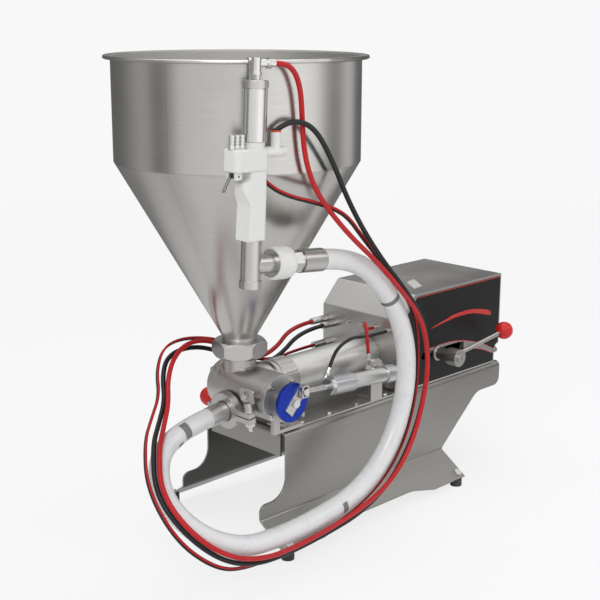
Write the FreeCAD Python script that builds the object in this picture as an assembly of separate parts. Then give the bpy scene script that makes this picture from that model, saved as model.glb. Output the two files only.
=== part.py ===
"""Table-top pneumatic food depositor with hopper, rotary valve and hand gun.

Millimetres, +Z up, origin on the floor in the middle between the hopper's front and
the air inlet at the rear. The machine faces -X (outlet spout), the operator's near
side is -Y.
"""
import FreeCAD
import Part
import math
import os

V = FreeCAD.Vector
X, Y, Z = V(1, 0, 0), V(0, 1, 0), V(0, 0, 1)

# Base frame: one folded sheet
DECK_MIDDLE = 108.0
DECK_LENGTH = 596.0
DECK_WIDTH = 203.0
DECK_HEIGHT = 195.0
BASE_SHEET = 3.0
BASE_BEND = 8.0
FOLD_HEIGHT = 56.0
TOE_REACH = 59.0
HEEL_SETBACK = 179.0
FLANGE_SPREAD = 60.0
FLANGE_DROP = 40.0
FLANGE_WAIST = 13.0
APRON_DROP = 45.0
REAR_APRON_DROP = 30.0
APRON_GAP = 10.5
FOOT_RADIUS = 11.0
FOOT_INSET = 9.5
FOOT_FROM_TOE = 17.0
FOOT_FROM_HEEL = 13.0
FOOT_BOLT = 8.0

# Clearances
SLIP = 0.3
SEAT = 0.15

# Cabinet
CABINET_FRONT = 102.0
CABINET_WIDTH = 193.0
CABINET_HEIGHT = 180.0
CABINET_SHEET = 1.5
SLOPE_RUN = 40.0
SLOPE_DROP = 43.0
NOTCH_DEPTH = 14.0
NOTCH_HEIGHT = 37.0
LABEL_THICK = 1.0
LABEL_MARGIN = 4.0

# Hopper
HOPPER_X = -200.5
HOPPER_RADIUS = 200.0
HOPPER_WALL = 2.0
HOPPER_RISE = 616.0
SHOULDER_RISE = 449.0
OUTLET_RISE = 154.0
HOPPER_TOP = DECK_HEIGHT + HOPPER_RISE
HOPPER_SHOULDER = DECK_HEIGHT + SHOULDER_RISE
HOPPER_OUTLET_Z = DECK_HEIGHT + OUTLET_RISE
HOPPER_OUTLET_RADIUS = 30.5
RIM_WIDTH = 12.0
RIM_ROLL = 3.0

# Union nut and ferrule between hopper and valve
NUT_FLATS = 81.5
NUT_HEIGHT = 28.0
NUT_RISE = 145.0
NUT_TOP = DECK_HEIGHT + NUT_RISE
FERRULE_RADIUS = 36.0
FERRULE_THICK = 4.0
GASKET_THICK = 2.0
NECK_RADIUS = 28.5
NECK_BORE = 22.0

# Rotary valve
VALVE_RISE = 63.0
VALVE_Z = DECK_HEIGHT + VALVE_RISE
VALVE_RADIUS = 40.5
VALVE_NEAR = -94.0
VALVE_FAR = 24.0
ROTOR_RADIUS = 30.0
SHAFT_RADIUS = 9.0
BRACKET_THICK = 8.0
BRACKET_LEG = 14.0
CAP_THICK = 10.0

# Outlet spout, ferrule clamp and hose tail
SPOUT_PITCH = 6.8
SPOUT_RADIUS = 17.0
SPOUT_BORE = 12.5
CLAMP_X = -249.0
CLAMP_FERRULE = 25.2
CLAMP_OUTER = 32.0
CLAMP_WIDTH = 13.0
CLAMP_BOLT_OFFSET = 57.0

# Product cylinder
CYLINDER_Y = -12.0
CYLINDER_RISE = 59.0
CYLINDER_Z = DECK_HEIGHT + CYLINDER_RISE
CYLINDER_RADIUS = 35.5
CYLINDER_BORE = 32.0
CYLINDER_RING_RADIUS = 38.0
CYLINDER_RING_LENGTH = 34.0
CYLINDER_START = -139.0
CYLINDER_END = 116.0
PISTON_LENGTH = 26.0
PISTON_ROD_RADIUS = 8.0
PISTON_REST = -98.0
DRIVE_LENGTH = 150.0
DRIVE_RADIUS = 34.0
DRIVE_BORE = 31.5
DRIVE_CAP = 18.0

# Crank and small actuator on the near side
CRANK_FACE = -129.0
CRANK_THICK = 6.0
CRANK_RADIUS = 33.0
CRANK_ARM = 24.0
CRANK_ANGLE = 48.0
CRANK_PLATE_WIDTH = 19.0
CRANK_PLATE_THICK = 5.0
CRANK_PIN = 3.0
ROD_PLANE = -139.0
ACTUATOR_TILT = 4.1
ACTUATOR_BARREL = 13.0
ACTUATOR_CAP = 16.0
ACTUATOR_BORE = 11.5
ACTUATOR_ROD = 5.0
ACTUATOR_FRONT = 62.0
ACTUATOR_FRONT_CAP = 51.0
ACTUATOR_TUBE = 82.0
ACTUATOR_REAR_CAP = 20.0
ACTUATOR_EYE = 12.0

# Lever clamps
BALL_RADIUS = 17.0
LEVER_ROD = 4.0
LEVER_X = 210.0
LEVER_RISE = 57.5
LEVER_REACH = 152.0
LEVER_LIFT = 22.0
LEVER_Y = -140.0
LEVER_ROOT_RISE = 3.0
LEVER_Z = DECK_HEIGHT + LEVER_RISE
SLOT_START = 164.0
SLOT_END = 284.0
SLOT_HEIGHT = 13.0

# Hand gun, upright, its own X toward the hose branch
GUN_X = -340.0
GUN_Y = -189.0
GUN_HANG = 26.0
GUN_TOP = HOPPER_TOP - GUN_HANG
GUN_LEAN = 2.0
GUN_BARREL = 17.5
GUN_HEAD_DROP = 128.0
GUN_HEAD_Z = GUN_TOP - GUN_HEAD_DROP
GUN_HEAD_HEIGHT = 32.0
GUN_GRIP_DROP = 229.5
GUN_GRIP_Z = GUN_TOP - GUN_GRIP_DROP
NOZZLE_DROP = 301.0
GUN_NOZZLE_END = GUN_TOP - NOZZLE_DROP
GUN_NOZZLE_RADIUS = 15.0
BRANCH_DROP = 267.0
BRANCH_Z = GUN_TOP - BRANCH_DROP
BRANCH_COLLAR = 25.0
HOSE_RADIUS = 16.5
AIR_LINE_RADIUS = 4.0
SMALL_LINE_RADIUS = 3.0
LINE_WALL = 1.0
RISER_SINK = 6.0
COLLAR_THICK = 2.5

# Deck plate and fasteners
DECK_BOLT = 6.0
COVER_BOLT = 5.0
CRANK_BOLT = 8.0
CABINET_SCREW = 5.0
CABINET_SCREW_RISE = 114.0
PLATE_THICK = 3.0
PLATE_FRONT = -182.0
PLATE_REAR = 96.0
PLATE_NEAR = -96.0
PLATE_FAR = -48.0

# Fittings on the cabinet
BULKHEAD_THREAD = 5.0
INLET_THREAD = 6.0
INLET_Y = -84.0
INLET_RISE = 20.0
INLET_Z = DECK_HEIGHT + INLET_RISE
INLET_REACH = 20.5
GLAND_REACH = 10.0

# Details of valve, clamp and far lever
NECK_THREAD = 33.0
COLLAR_RADIUS = 28.5
FACE_GAP = 0.6
FLANGE_THICK = 3.0
FAR_PLATE = 5.0
FAR_STUD_X = -130.0
FAR_STUD_Y = 85.0
FAR_STUD = 6.0
FAR_LEVER_REACH = 67.0
FAR_HUB = 13.0
LUG_WIDTH = 14.0
LUG_THICK = 9.0
CLAMP_BOLT = 7.0
CLAMP_PIN = 4.0
WING_WIDTH = 32.0
WING_HOLE = 7.5
WING_THICK = 3.0
WING_LOW = 29.0
WING_HIGH = 51.0
STUD_ABOVE = 25.0
STUD_BELOW = 24.0

# Details of crank, actuator and volume lever
CRANK_HUB = 14.0
DRIVE_PISTON = 16.0
ROD_END = 8.0
SLOT_BELOW = 7.5
PIN_SLOT = 16.0
ROD_END_WALL = 2.5
SLOT_SIDE = 1.3
EYE_THICK = 10.0
PIVOT_PIN = 4.0
FRONT_PORT = 80.0
RAIL_Y = -66.0
RAIL_RADIUS = 4.0
STUD_RADIUS = 5.5
HUB_START = -128.0
HUB_END = -152.0
HUB_RADIUS = 16.5

# Details of the hand gun
GUN_HEAD_WIDTH = 32.0
GUN_HEAD_FRONT = 46.5
GUN_HEAD_REAR = 16.4
HEAD_CORNER = 7.0
HEAD_EDGE = 2.5
GUN_GRIP_DEPTH = 37.0
GUN_GRIP_WIDTH = 28.0
GUN_STEM = 4.0
ELBOW_RADIUS = 7.0
GUN_ORIFICE = 10.0
GUN_CAP = 12.0
SILENCER = 4.5
SILENCER_STEP = 9.5
SILENCER_HEIGHT = 20.0
GUN_BARREL_LENGTH = 74.0
TRIGGER_WIRE = 2.2
TRIGGER_PIN = 1.5
TRIGGER_KNEE = 9.0
TRIGGER_REACH = 19.0
TRIGGER_DROP = 20.0
FERRULE_AT = 44.0
FERRULE_LIP = 20.5
COLLAR_START = 40.0
COLLAR_END = 80.0
SLEEVE_RADIUS = 18.3
SLEEVE_NUT = 31.0
SLEEVE_NUT_LENGTH = 16.0
SLEEVE_RING = 4.0
HOSE_BORE = 12.0
TRIGGER_LINES_RADIUS = 4.0
HOOK_WIDTH = 15.0
HOOK_THICK = 3.0
HOOK_DROP = 28.0

# Routes of hose and lines, chosen by hand for these heights of the deck and of the gun's top
ROUTE_DECK_HEIGHT = 195.0
ROUTE_GUN_TOP = 785.0
FOLLOW_DECK_BELOW = 345.0
FOLLOW_GUN_ABOVE = 480.0


def placed(points):
    """Route points that follow the deck's height low down and the gun's height near the gun."""
    route = []
    for x, y, z in points:
        share = (z - FOLLOW_DECK_BELOW) / (FOLLOW_GUN_ABOVE - FOLLOW_DECK_BELOW)
        share = min(1.0, max(0.0, share))
        lift = (DECK_HEIGHT - ROUTE_DECK_HEIGHT) * (1 - share) + (GUN_TOP - ROUTE_GUN_TOP) * share
        route.append(V(x, y, z + lift))
    return route


HOSE_ROUTE = placed((
    (-198, -187, 505), (-122, -187, 498), (-46, -189, 436), (8, -190, 345), (13, -190, 240),
    (-32, -190, 146), (-112, -190, 90), (-216, -190, 74), (-292, -190, 71), (-366, -188, 76),
    (-425, -159, 104), (-449, -105, 148), (-422, -50, 191), (-360, -20, 217), (-289, -20, 226),
))
RED_ROUTE = placed((
    (-306, -199, 807), (-288, -205, 806), (-273, -208, 793), (-263, -208, 768), (-259, -207, 738),
    (-256, -206, 700), (-251, -208, 662), (-237, -211, 624), (-208, -214, 586), (-158, -215, 538),
    (-100, -216, 492), (-34, -215, 432), (22, -214, 372), (40, -214, 305), (34, -214, 238),
    (8, -214, 166), (-36, -214, 112), (-100, -213, 80), (-185, -212, 64), (-275, -212, 56),
    (-342, -211, 58), (-408, -205, 80), (-450, -168, 120), (-464, -116, 172), (-424, -60, 214),
    (-380, -18, 234), (-352, 4, 260), (-342, 18, 294), (-314, 36, 324), (-272, 50, 338),
    (-214, 64, 328), (-154, 72, 296), (-97, 76, 266), (-42, 80, 272), (4, 86, 305), (58, 86, 305),
))
BLACK_ROUTE = placed((
    (-302, -191, 708), (-291, -200, 719), (-275, -209, 724), (-260, -218, 720), (-242, -220, 707),
    (-221, -218, 684), (-192, -213, 646), (-160, -207, 598), (-120, -206, 542), (-72, -206, 486),
    (-12, -205, 427), (34, -205, 372), (52, -205, 308), (45, -205, 238), (16, -205, 162),
    (-38, -205, 98), (-112, -204, 62), (-200, -203, 50), (-280, -203, 45), (-350, -202, 48),
    (-412, -196, 72), (-452, -158, 114), (-468, -106, 169), (-424, -45, 220), (-378, -4, 237),
    (-350, 16, 262), (-342, 31, 297), (-318, 50, 320), (-274, 62, 326), (-214, 70, 314),
    (-154, 64, 282), (-97, 64, 256), (-42, 66, 264), (10, 67, 299), (68, 67, 299),
))
TRIGGER_ROUTE = placed((
    (-318, -189, 640), (-308, -190, 632), (-294, -194, 622), (-272, -199, 612), (-238, -203, 602),
    (-192, -204, 588), (-152, -201, 568), (-118, -198, 534), (-62, -193, 482), (4, -192, 416),
    (38, -192, 352), (40, -192, 238), (4, -192, 142), (-66, -190, 78), (-170, -188, 46),
    (-270, -188, 38), (-364, -188, 40), (-420, -186, 60), (-466, -152, 108), (-474, -94, 176),
    (-430, -32, 224), (-384, 8, 242), (-352, 28, 268), (-344, 44, 304), (-316, 62, 334),
    (-268, 76, 338), (-206, 86, 326), (-150, 88, 306), (-90, 92, 262), (-40, 84, 252), (10, 81, 260),
    (58, 81, 260),
))
FRONT_LINE_ROUTE = placed((
    (-93, -108, 290), (-85, -108, 308), (-64, -105, 323), (-24, -96, 327), (16, -80, 317),
    (54, -70, 310), (92, -70, 310),
))
REAR_LINE_ROUTE = placed((
    (19, -95, 290), (16, -95, 311), (21, -88, 332), (42, -66, 339), (68, -40, 311), (92, -39, 311),
))

deck_front = DECK_MIDDLE - DECK_LENGTH / 2
deck_rear = DECK_MIDDLE + DECK_LENGTH / 2
deck_side = DECK_WIDTH / 2
toe_x = deck_front - TOE_REACH
heel_x = deck_rear - HEEL_SETBACK
flange_angle = math.degrees(math.atan2(FLANGE_DROP, FLANGE_SPREAD))
drive_start = CYLINDER_END + DRIVE_CAP
drive_end = drive_start + DRIVE_LENGTH
drive_piston_start = drive_start + 10
tube_start = ACTUATOR_FRONT + ACTUATOR_FRONT_CAP
tube_end = tube_start + ACTUATOR_TUBE
eye_distance = tube_end + ACTUATOR_REAR_CAP + ACTUATOR_EYE
rear_port = tube_end + ACTUATOR_REAR_CAP * 0.45
near_ball_centre = V(LEVER_X + LEVER_REACH, LEVER_Y, LEVER_Z + LEVER_LIFT)
barrel_high = GUN_TOP - GUN_CAP
barrel_low = barrel_high - GUN_BARREL_LENGTH
FRONT_LINE_START = FRONT_LINE_ROUTE[0]
REAR_LINE_START = REAR_LINE_ROUTE[0]


def box(x0, x1, y0, y1, z0, z1):
    """A box between two corners."""
    return Part.makeBox(x1 - x0, y1 - y0, z1 - z0, V(x0, y0, z0))


def rod(start, end, radius):
    """A solid cylinder from one point to another."""
    way = end - start
    return Part.makeCylinder(radius, way.Length, start, way)


def pipe(start, end, radius, bore):
    """A cylinder with a through bore."""
    way = end - start
    way.normalize()
    return rod(start, end, radius).cut(rod(start - way, end + way, bore))


def join(shapes):
    """One shape fused from several that touch."""
    whole = shapes[0]
    if len(shapes) > 1:
        whole = whole.multiFuse(shapes[1:])
    return whole.removeSplitter()


def hexagon(centre, flats, height, spin=0.0):
    """A vertical hexagonal prism, one flat facing the angle spin."""
    corner = flats / 2 / math.cos(math.radians(30))
    points = []
    for k in range(7):
        a = math.radians(spin + 30 + 60 * k)
        points.append(centre + V(corner * math.cos(a), corner * math.sin(a), 0))
    return Part.Face(Part.makePolygon(points)).extrude(V(0, 0, height))


def aim(shape, point, direction):
    """Turn a shape modelled up Z at the origin to a direction, and move it to a point."""
    moved = shape.copy()
    moved.Placement = FreeCAD.Placement(point, FreeCAD.Rotation(Z, direction)).multiply(moved.Placement)
    return moved


def revolved(points, base=V(0, 0, 0)):
    """A solid of revolution about the vertical through base, from (radius, height) points."""
    wire = Part.makePolygon([base + V(r, 0, z) for r, z in points + points[:1]])
    return Part.Face(wire).revolve(base, Z, 360)


def rounded_edges(points, radii):
    """Straight runs joined by tangent arcs; radii belong to the inner points."""
    edges = []
    last = points[0]
    for k in range(1, len(points) - 1):
        corner = points[k]
        before = points[k - 1] - corner
        after = points[k + 1] - corner
        before.normalize()
        after.normalize()
        turn = math.pi - before.getAngle(after)
        radius = radii[k - 1]
        if radius <= 0 or turn < 1e-6:
            edges.append(Part.LineSegment(last, corner).toShape())
            last = corner
            continue
        reach = radius * math.tan(turn / 2)
        start = corner + before * reach
        end = corner + after * reach
        inward = before + after
        inward.normalize()
        centre = corner + inward * (radius / math.cos(turn / 2))
        middle = centre - inward * radius
        edges.append(Part.LineSegment(last, start).toShape())
        edges.append(Part.Arc(start, middle, end).toShape())
        last = end
    edges.append(Part.LineSegment(last, points[-1]).toShape())
    return edges


def plate(points, radii, way):
    """A closed rounded outline extruded along a vector; the first corner stays sharp."""
    edges = rounded_edges(points + points[:1], radii)
    return Part.Face(Part.Wire(edges)).extrude(way)


def fold(points, radius, thick, way):
    """A bent sheet: a centre line in a plane, thickened and extruded along a vector."""
    normal = V(way)
    normal.normalize()
    sides = []
    for side in (0.5, -0.5):
        shifted = []
        radii = []
        for k, point in enumerate(points):
            ways = []
            if k > 0:
                ways.append(points[k] - points[k - 1])
            if k < len(points) - 1:
                ways.append(points[k + 1] - points[k])
            for w in ways:
                w.normalize()
            offs = [w.cross(normal) * (side * thick) for w in ways]
            if len(offs) == 1:
                shifted.append(point + offs[0])
                continue
            half = ways[0].getAngle(ways[1]) / 2
            mid = offs[0] + offs[1]
            mid.normalize()
            shifted.append(point + mid * (abs(side) * thick / math.cos(half)))
            outward = (ways[0] - ways[1]).dot(mid) > 0
            radii.append(radius + thick / 2 if outward else radius - thick / 2)
        sides.append((shifted, radii))
    first = rounded_edges(*sides[0])
    second = rounded_edges(*sides[1])
    caps = [Part.LineSegment(sides[0][0][0], sides[1][0][0]).toShape(),
            Part.LineSegment(sides[0][0][-1], sides[1][0][-1]).toShape()]
    wire = Part.Wire(Part.__sortEdges__(first + second + caps))
    return Part.Face(wire).extrude(way)


def torus(centre, direction, radius, thick):
    """A ring of round section."""
    return Part.makeTorus(radius, thick, centre, direction)


def bolt(point, direction, size, length):
    """Hexagon head with a shank: the head sits on the point, the shank runs against direction."""
    head = hexagon(V(0, 0, 0), size * 1.65, size * 0.65)
    shank = rod(V(0, 0, -length), V(0, 0, 0.1), size / 2)
    return aim(join([head, shank]), point, direction)


def socket_bolt(point, direction, size, length):
    """Cap head with a hexagon socket, its head on the point."""
    head = rod(V(0, 0, 0), V(0, 0, size), size * 0.8)
    head = head.cut(hexagon(V(0, 0, size * 0.45), size * 0.8, size))
    shank = rod(V(0, 0, -length), V(0, 0, 0.1), size / 2)
    return aim(join([head, shank]), point, direction)


def push_in(tip, way, radius, length):
    """Straight push-in fitting ending at tip, pointing along way."""
    start = tip - way * length
    hexed = aim(hexagon(V(0, 0, 0), radius * 1.9, length * 0.35), start, way)
    barrel = rod(start + way * length * 0.3, tip, radius)
    collar = rod(tip - way * length * 0.12, tip, radius * 0.82)
    return join([hexed, barrel.cut(collar), collar])


def pierced(fitting, tip, way, radius, depth=8.0):
    """Open the mouth of a fitting; its face takes the end of a line of that radius."""
    return fitting.cut(rod(tip - way * depth, tip + way, radius - LINE_WALL))


def squared(shape, tip, way):
    """Cut off what a shape has beyond the plane through tip, square to way."""
    return shape.cut(aim(box(-60, 60, -60, 60, 0, 60), tip, way))


# Base frame

def flange_point(side, x, lift):
    """A point on the splayed flange above a foot, lifted along the flange's normal."""
    y = deck_side - BASE_SHEET / 2 + FLANGE_SPREAD - FOOT_INSET
    z = FOLD_HEIGHT - (FLANGE_SPREAD - FOOT_INSET) * FLANGE_DROP / FLANGE_SPREAD
    return V(x, side * y, z) + flange_normal(side) * lift


def flange_normal(side):
    """The upward normal of one splayed flange."""
    a = math.radians(flange_angle)
    return V(0, side * math.sin(a), math.cos(a))


def foot_places():
    """Side and x of the four feet."""
    front = toe_x + FOOT_FROM_TOE
    rear = heel_x - FOOT_FROM_HEEL
    return [(side, x) for side in (-1, 1) for x in (front, rear)]


def side_outline():
    """The base seen from the side, as a prism across its whole width."""
    reach = deck_side + FLANGE_SPREAD + 20
    toe_top = FOLD_HEIGHT + 26
    heel_top = DECK_HEIGHT - 47
    slope = (heel_top - FOLD_HEIGHT) * 1.16
    corners = [(deck_front, DECK_HEIGHT + 1), (deck_front, toe_top), (toe_x, toe_top), (toe_x, -5),
               (heel_x, -5), (heel_x, FOLD_HEIGHT), (heel_x + slope, heel_top), (deck_rear, heel_top),
               (deck_rear, DECK_HEIGHT + 1)]
    points = [V(x, -reach, z) for x, z in corners]
    return plate(points, [34, 13, 0, 0, 0, 40, 16, 0], Y * (2 * reach))


def base_frame():
    side = deck_side - BASE_SHEET / 2
    top = DECK_HEIGHT - BASE_SHEET / 2
    low = FOLD_HEIGHT - FLANGE_DROP
    half = [V(toe_x, side + FLANGE_SPREAD, low), V(toe_x, side, FOLD_HEIGHT), V(toe_x, side, top)]
    other = [V(p.x, -p.y, p.z) for p in reversed(half)]
    shell = fold(half + other, BASE_BEND, BASE_SHEET, X * (deck_rear - toe_x))
    shell = shell.common(side_outline())
    apron_half = deck_side - BASE_SHEET - APRON_GAP
    for edge, inward, drop in ((deck_front, 1, APRON_DROP), (deck_rear, -1, REAR_APRON_DROP)):
        strip = sorted([edge - inward, edge + inward * 30])
        shell = shell.cut(box(strip[0], strip[1], -apron_half, apron_half, top - 5, top + 5))
        face = edge + inward * BASE_SHEET / 2
        line = [V(edge + inward * 30, -apron_half, top), V(face, -apron_half, top),
                V(face, -apron_half, DECK_HEIGHT - drop)]
        shell = shell.fuse(fold(line, BASE_BEND, BASE_SHEET, Y * (2 * apron_half)))
    outer = side + FLANGE_SPREAD + 3
    waist = side + FLANGE_SPREAD - FLANGE_WAIST
    for s in (-1, 1):
        corners = [(toe_x + 62, outer), (toe_x + 190, waist), (heel_x - 140, waist), (heel_x - 72, outer)]
        points = [V(x, s * y, -5) for x, y in corners]
        shell = shell.cut(plate(points, [120, 60, 0], Z * FOLD_HEIGHT))
    for s, x in foot_places():
        hole = rod(flange_point(s, x, -10), flange_point(s, x, 10), FOOT_BOLT / 2 + SLIP)
        shell = shell.cut(hole)
    for point in deck_bolt_places():
        shell = shell.cut(rod(point - Z * 20, point + Z * 20, DECK_BOLT / 2 + SLIP))
    stud = V(FAR_STUD_X, FAR_STUD_Y, DECK_HEIGHT)
    shell = shell.cut(rod(stud - Z * 20, stud + Z, FAR_STUD + SLIP))
    return shell.removeSplitter()


def rubber_feet():
    feet = []
    for s, x in foot_places():
        n = flange_normal(s)
        under = flange_point(s, x, -BASE_SHEET / 2)
        column = rod(V(under.x, under.y, 0), V(under.x, under.y, under.z + 20), FOOT_RADIUS)
        above = aim(box(-30, 30, -30, 30, 0, 60), under, n)
        foot = column.cut(above)
        feet.append(foot.cut(rod(under + n, under - n * 9.5, FOOT_BOLT / 2 + SEAT)))
    return Part.makeCompound(feet)


def foot_bolts():
    bolts = []
    for s, x in foot_places():
        bolts.append(bolt(flange_point(s, x, BASE_SHEET / 2), flange_normal(s), FOOT_BOLT, BASE_SHEET + 9))
    return bolts


# Deck plate that carries the valve bracket and the actuator bracket

plate_top = DECK_HEIGHT + PLATE_THICK


def deck_bolt_places():
    """Where bolts go through the deck plate and the deck."""
    near = PLATE_NEAR + 8
    far = PLATE_FAR - 8
    near_row = [V(PLATE_FRONT + step, near, plate_top) for step in (42, 108, 178, 254)]
    far_row = [V(PLATE_FRONT + step, far, plate_top) for step in (76, 270)]
    return near_row + far_row


def deck_plate():
    shape = box(PLATE_FRONT, PLATE_REAR, PLATE_NEAR, PLATE_FAR, DECK_HEIGHT, plate_top)
    for point in deck_bolt_places():
        shape = shape.cut(rod(point - Z * 20, point + Z * 5, DECK_BOLT / 2 + SLIP))
    for point in bracket_bolt_places():
        shape = shape.cut(rod(V(point.x, point.y, 0), point, COVER_BOLT / 2 + SEAT))
    return shape


def deck_bolts():
    return [bolt(point, Z, DECK_BOLT, 14) for point in deck_bolt_places()]


# Cabinet

cabinet_top = DECK_HEIGHT + CABINET_HEIGHT
cabinet_side = CABINET_WIDTH / 2
cabinet_rear = deck_rear
slope_foot = cabinet_top - SLOPE_DROP


def cabinet_prism(inset, reach):
    """The cabinet's side outline, moved in by inset, as a prism of half width reach."""
    front = CABINET_FRONT + inset
    rear = cabinet_rear - inset
    run = SLOPE_RUN / SLOPE_DROP
    top = cabinet_top - inset
    crease = slope_foot - inset * 0.5
    low = DECK_HEIGHT - (1 if inset else 0)
    notch = DECK_HEIGHT + NOTCH_HEIGHT + inset
    corners = [(front, low), (front, crease), (front + (top - crease) * run, top), (rear, top),
               (rear, notch), (rear - NOTCH_DEPTH, notch), (rear - NOTCH_DEPTH, low)]
    points = [V(x, -reach, z) for x, z in corners]
    return plate(points, [3, 3, 3, 0, 0, 0], Y * (2 * reach))


def actuator_hose_holes():
    """Where the two actuator lines enter the cabinet front."""
    ends = (REAR_LINE_ROUTE[-1], FRONT_LINE_ROUTE[-1])
    return [V(CABINET_FRONT, p.y, p.z) for p in ends]


def bulkhead_tips():
    """Tips of the push-in fittings on the cabinet front, pointing at -X."""
    return [RED_ROUTE[-1], BLACK_ROUTE[-1], TRIGGER_ROUTE[-1]]


def cabinet_screw_places():
    return [V(CABINET_FRONT, y, DECK_HEIGHT + CABINET_SCREW_RISE) for y in (-2, 30)]


def cabinet_shell():
    shell = cabinet_prism(0, cabinet_side).cut(cabinet_prism(CABINET_SHEET, cabinet_side - CABINET_SHEET))
    mouth = V(CABINET_FRONT - 5, CYLINDER_Y, CYLINDER_Z)
    shell = shell.cut(rod(mouth, mouth + X * 10, CYLINDER_RADIUS + SLIP))
    for point in actuator_hose_holes():
        shell = shell.cut(rod(point - X * 5, point + X * 5, SMALL_LINE_RADIUS + 1))
    for tip in bulkhead_tips():
        point = V(CABINET_FRONT, tip.y, tip.z)
        shell = shell.cut(rod(point - X * 5, point + X * 5, BULKHEAD_THREAD + SLIP))
    for point in cabinet_screw_places():
        shell = shell.cut(rod(point - X * 5, point + X * 5, CABINET_SCREW / 2 + SLIP))
    inlet = V(cabinet_rear - NOTCH_DEPTH - 5, INLET_Y, INLET_Z)
    shell = shell.cut(rod(inlet, inlet + X * 10, INLET_THREAD + SLIP))
    return shell.cut(lever_slot(-cabinet_side))


def lever_slot(face):
    """The slot that the volume clamp's stud slides in."""
    half = SLOT_HEIGHT / 2
    start = SLOT_START + half
    end = SLOT_END - half
    bar = box(start, end, face - 5, face + 5, LEVER_Z - half, LEVER_Z + half)
    ends = [rod(V(x, face - 5, LEVER_Z), V(x, face + 5, LEVER_Z), half) for x in (start, end)]
    return join([bar] + ends)


def label_panel():
    face = -cabinet_side
    m = LABEL_MARGIN
    run = SLOPE_RUN / SLOPE_DROP
    front = CABINET_FRONT + 20
    top = cabinet_top - m - 1
    crease = slope_foot + 7
    rear = cabinet_rear - m
    corners = [(front, DECK_HEIGHT + m), (front, crease), (front + (top - crease) * run, top), (rear, top),
               (rear, DECK_HEIGHT + NOTCH_HEIGHT + m), (rear - NOTCH_DEPTH, DECK_HEIGHT + NOTCH_HEIGHT - 8),
               (rear - NOTCH_DEPTH, DECK_HEIGHT + m)]
    points = [V(x, face - LABEL_THICK, z) for x, z in corners]
    return plate(points, [2, 2, 2, 2, 2, 2], Y * LABEL_THICK).cut(lever_slot(face))


def bulkhead_fittings():
    fittings = []
    for tip in bulkhead_tips():
        length = CABINET_FRONT - tip.x
        body = push_in(tip, -X, AIR_LINE_RADIUS + 2.5, length)
        back = V(CABINET_FRONT, tip.y, tip.z)
        thread = rod(back - X, back + X * (CABINET_SHEET + 8), BULKHEAD_THREAD)
        nut = aim(hexagon(V(0, 0, 0), BULKHEAD_THREAD * 2.8, 4), back + X * CABINET_SHEET, X)
        fittings.append(pierced(join([body, thread, nut]), tip, -X, AIR_LINE_RADIUS, 6))
    return fittings


def cabinet_screws():
    return [socket_bolt(p, -X, CABINET_SCREW, 8) for p in cabinet_screw_places()]


def air_inlet():
    back = V(cabinet_rear - NOTCH_DEPTH, INLET_Y, INLET_Z)
    thread = rod(back - X * (CABINET_SHEET + 8), back + X, INLET_THREAD)
    flats = aim(hexagon(V(0, 0, 0), INLET_THREAD * 2.6, 6), back, X)
    neck = rod(back + X * 5, back + X * INLET_REACH, INLET_THREAD * 0.8)
    rings = [rod(back + X * (INLET_REACH - step), back + X * (INLET_REACH - step + 3), INLET_THREAD)
             for step in (3, 8, 13)]
    nut = aim(hexagon(V(0, 0, 0), INLET_THREAD * 2.6, 4), back - X * CABINET_SHEET, -X)
    shape = join([thread, flats, neck, nut] + rings)
    return shape.cut(rod(back - X * 30, back + X * 30, INLET_THREAD * 0.45))


# Hopper and its union

hopper_axis = V(HOPPER_X, 0, 0)
ferrule_top = NUT_TOP + 5
neck_top = NUT_TOP - 11
gasket_top = neck_top + GASKET_THICK


def cone_radius(z):
    """Outer radius of the hopper's cone at a height."""
    share = (z - HOPPER_OUTLET_Z) / (HOPPER_SHOULDER - HOPPER_OUTLET_Z)
    return HOPPER_OUTLET_RADIUS + share * (HOPPER_RADIUS - HOPPER_OUTLET_RADIUS)


def hopper():
    r = HOPPER_RADIUS
    w = HOPPER_WALL
    low = cone_radius(ferrule_top)
    rim = r + RIM_WIDTH - RIM_ROLL
    outside = [(low, ferrule_top), (r, HOPPER_SHOULDER), (r, HOPPER_TOP - w), (rim, HOPPER_TOP - w)]
    inside = [(rim, HOPPER_TOP), (r - w, HOPPER_TOP), (r - w, HOPPER_SHOULDER), (low - w, ferrule_top)]
    shell = revolved(outside + inside, hopper_axis)
    roll = torus(V(HOPPER_X, 0, HOPPER_TOP - RIM_ROLL), Z, rim, RIM_ROLL)
    return join([shell, roll, hopper_ferrule()])


def hopper_ferrule():
    flange_low = gasket_top
    flange_high = flange_low + FERRULE_THICK
    points = [(NECK_BORE, flange_low), (FERRULE_RADIUS, flange_low), (FERRULE_RADIUS, flange_high),
              (COLLAR_RADIUS, flange_high), (COLLAR_RADIUS, ferrule_top), (NECK_BORE, ferrule_top)]
    return revolved(points, hopper_axis)


def hopper_gasket():
    points = [(NECK_BORE, neck_top), (FERRULE_RADIUS - 2, neck_top), (FERRULE_RADIUS - 2, gasket_top),
              (NECK_BORE, gasket_top)]
    return revolved(points, hopper_axis)


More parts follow.
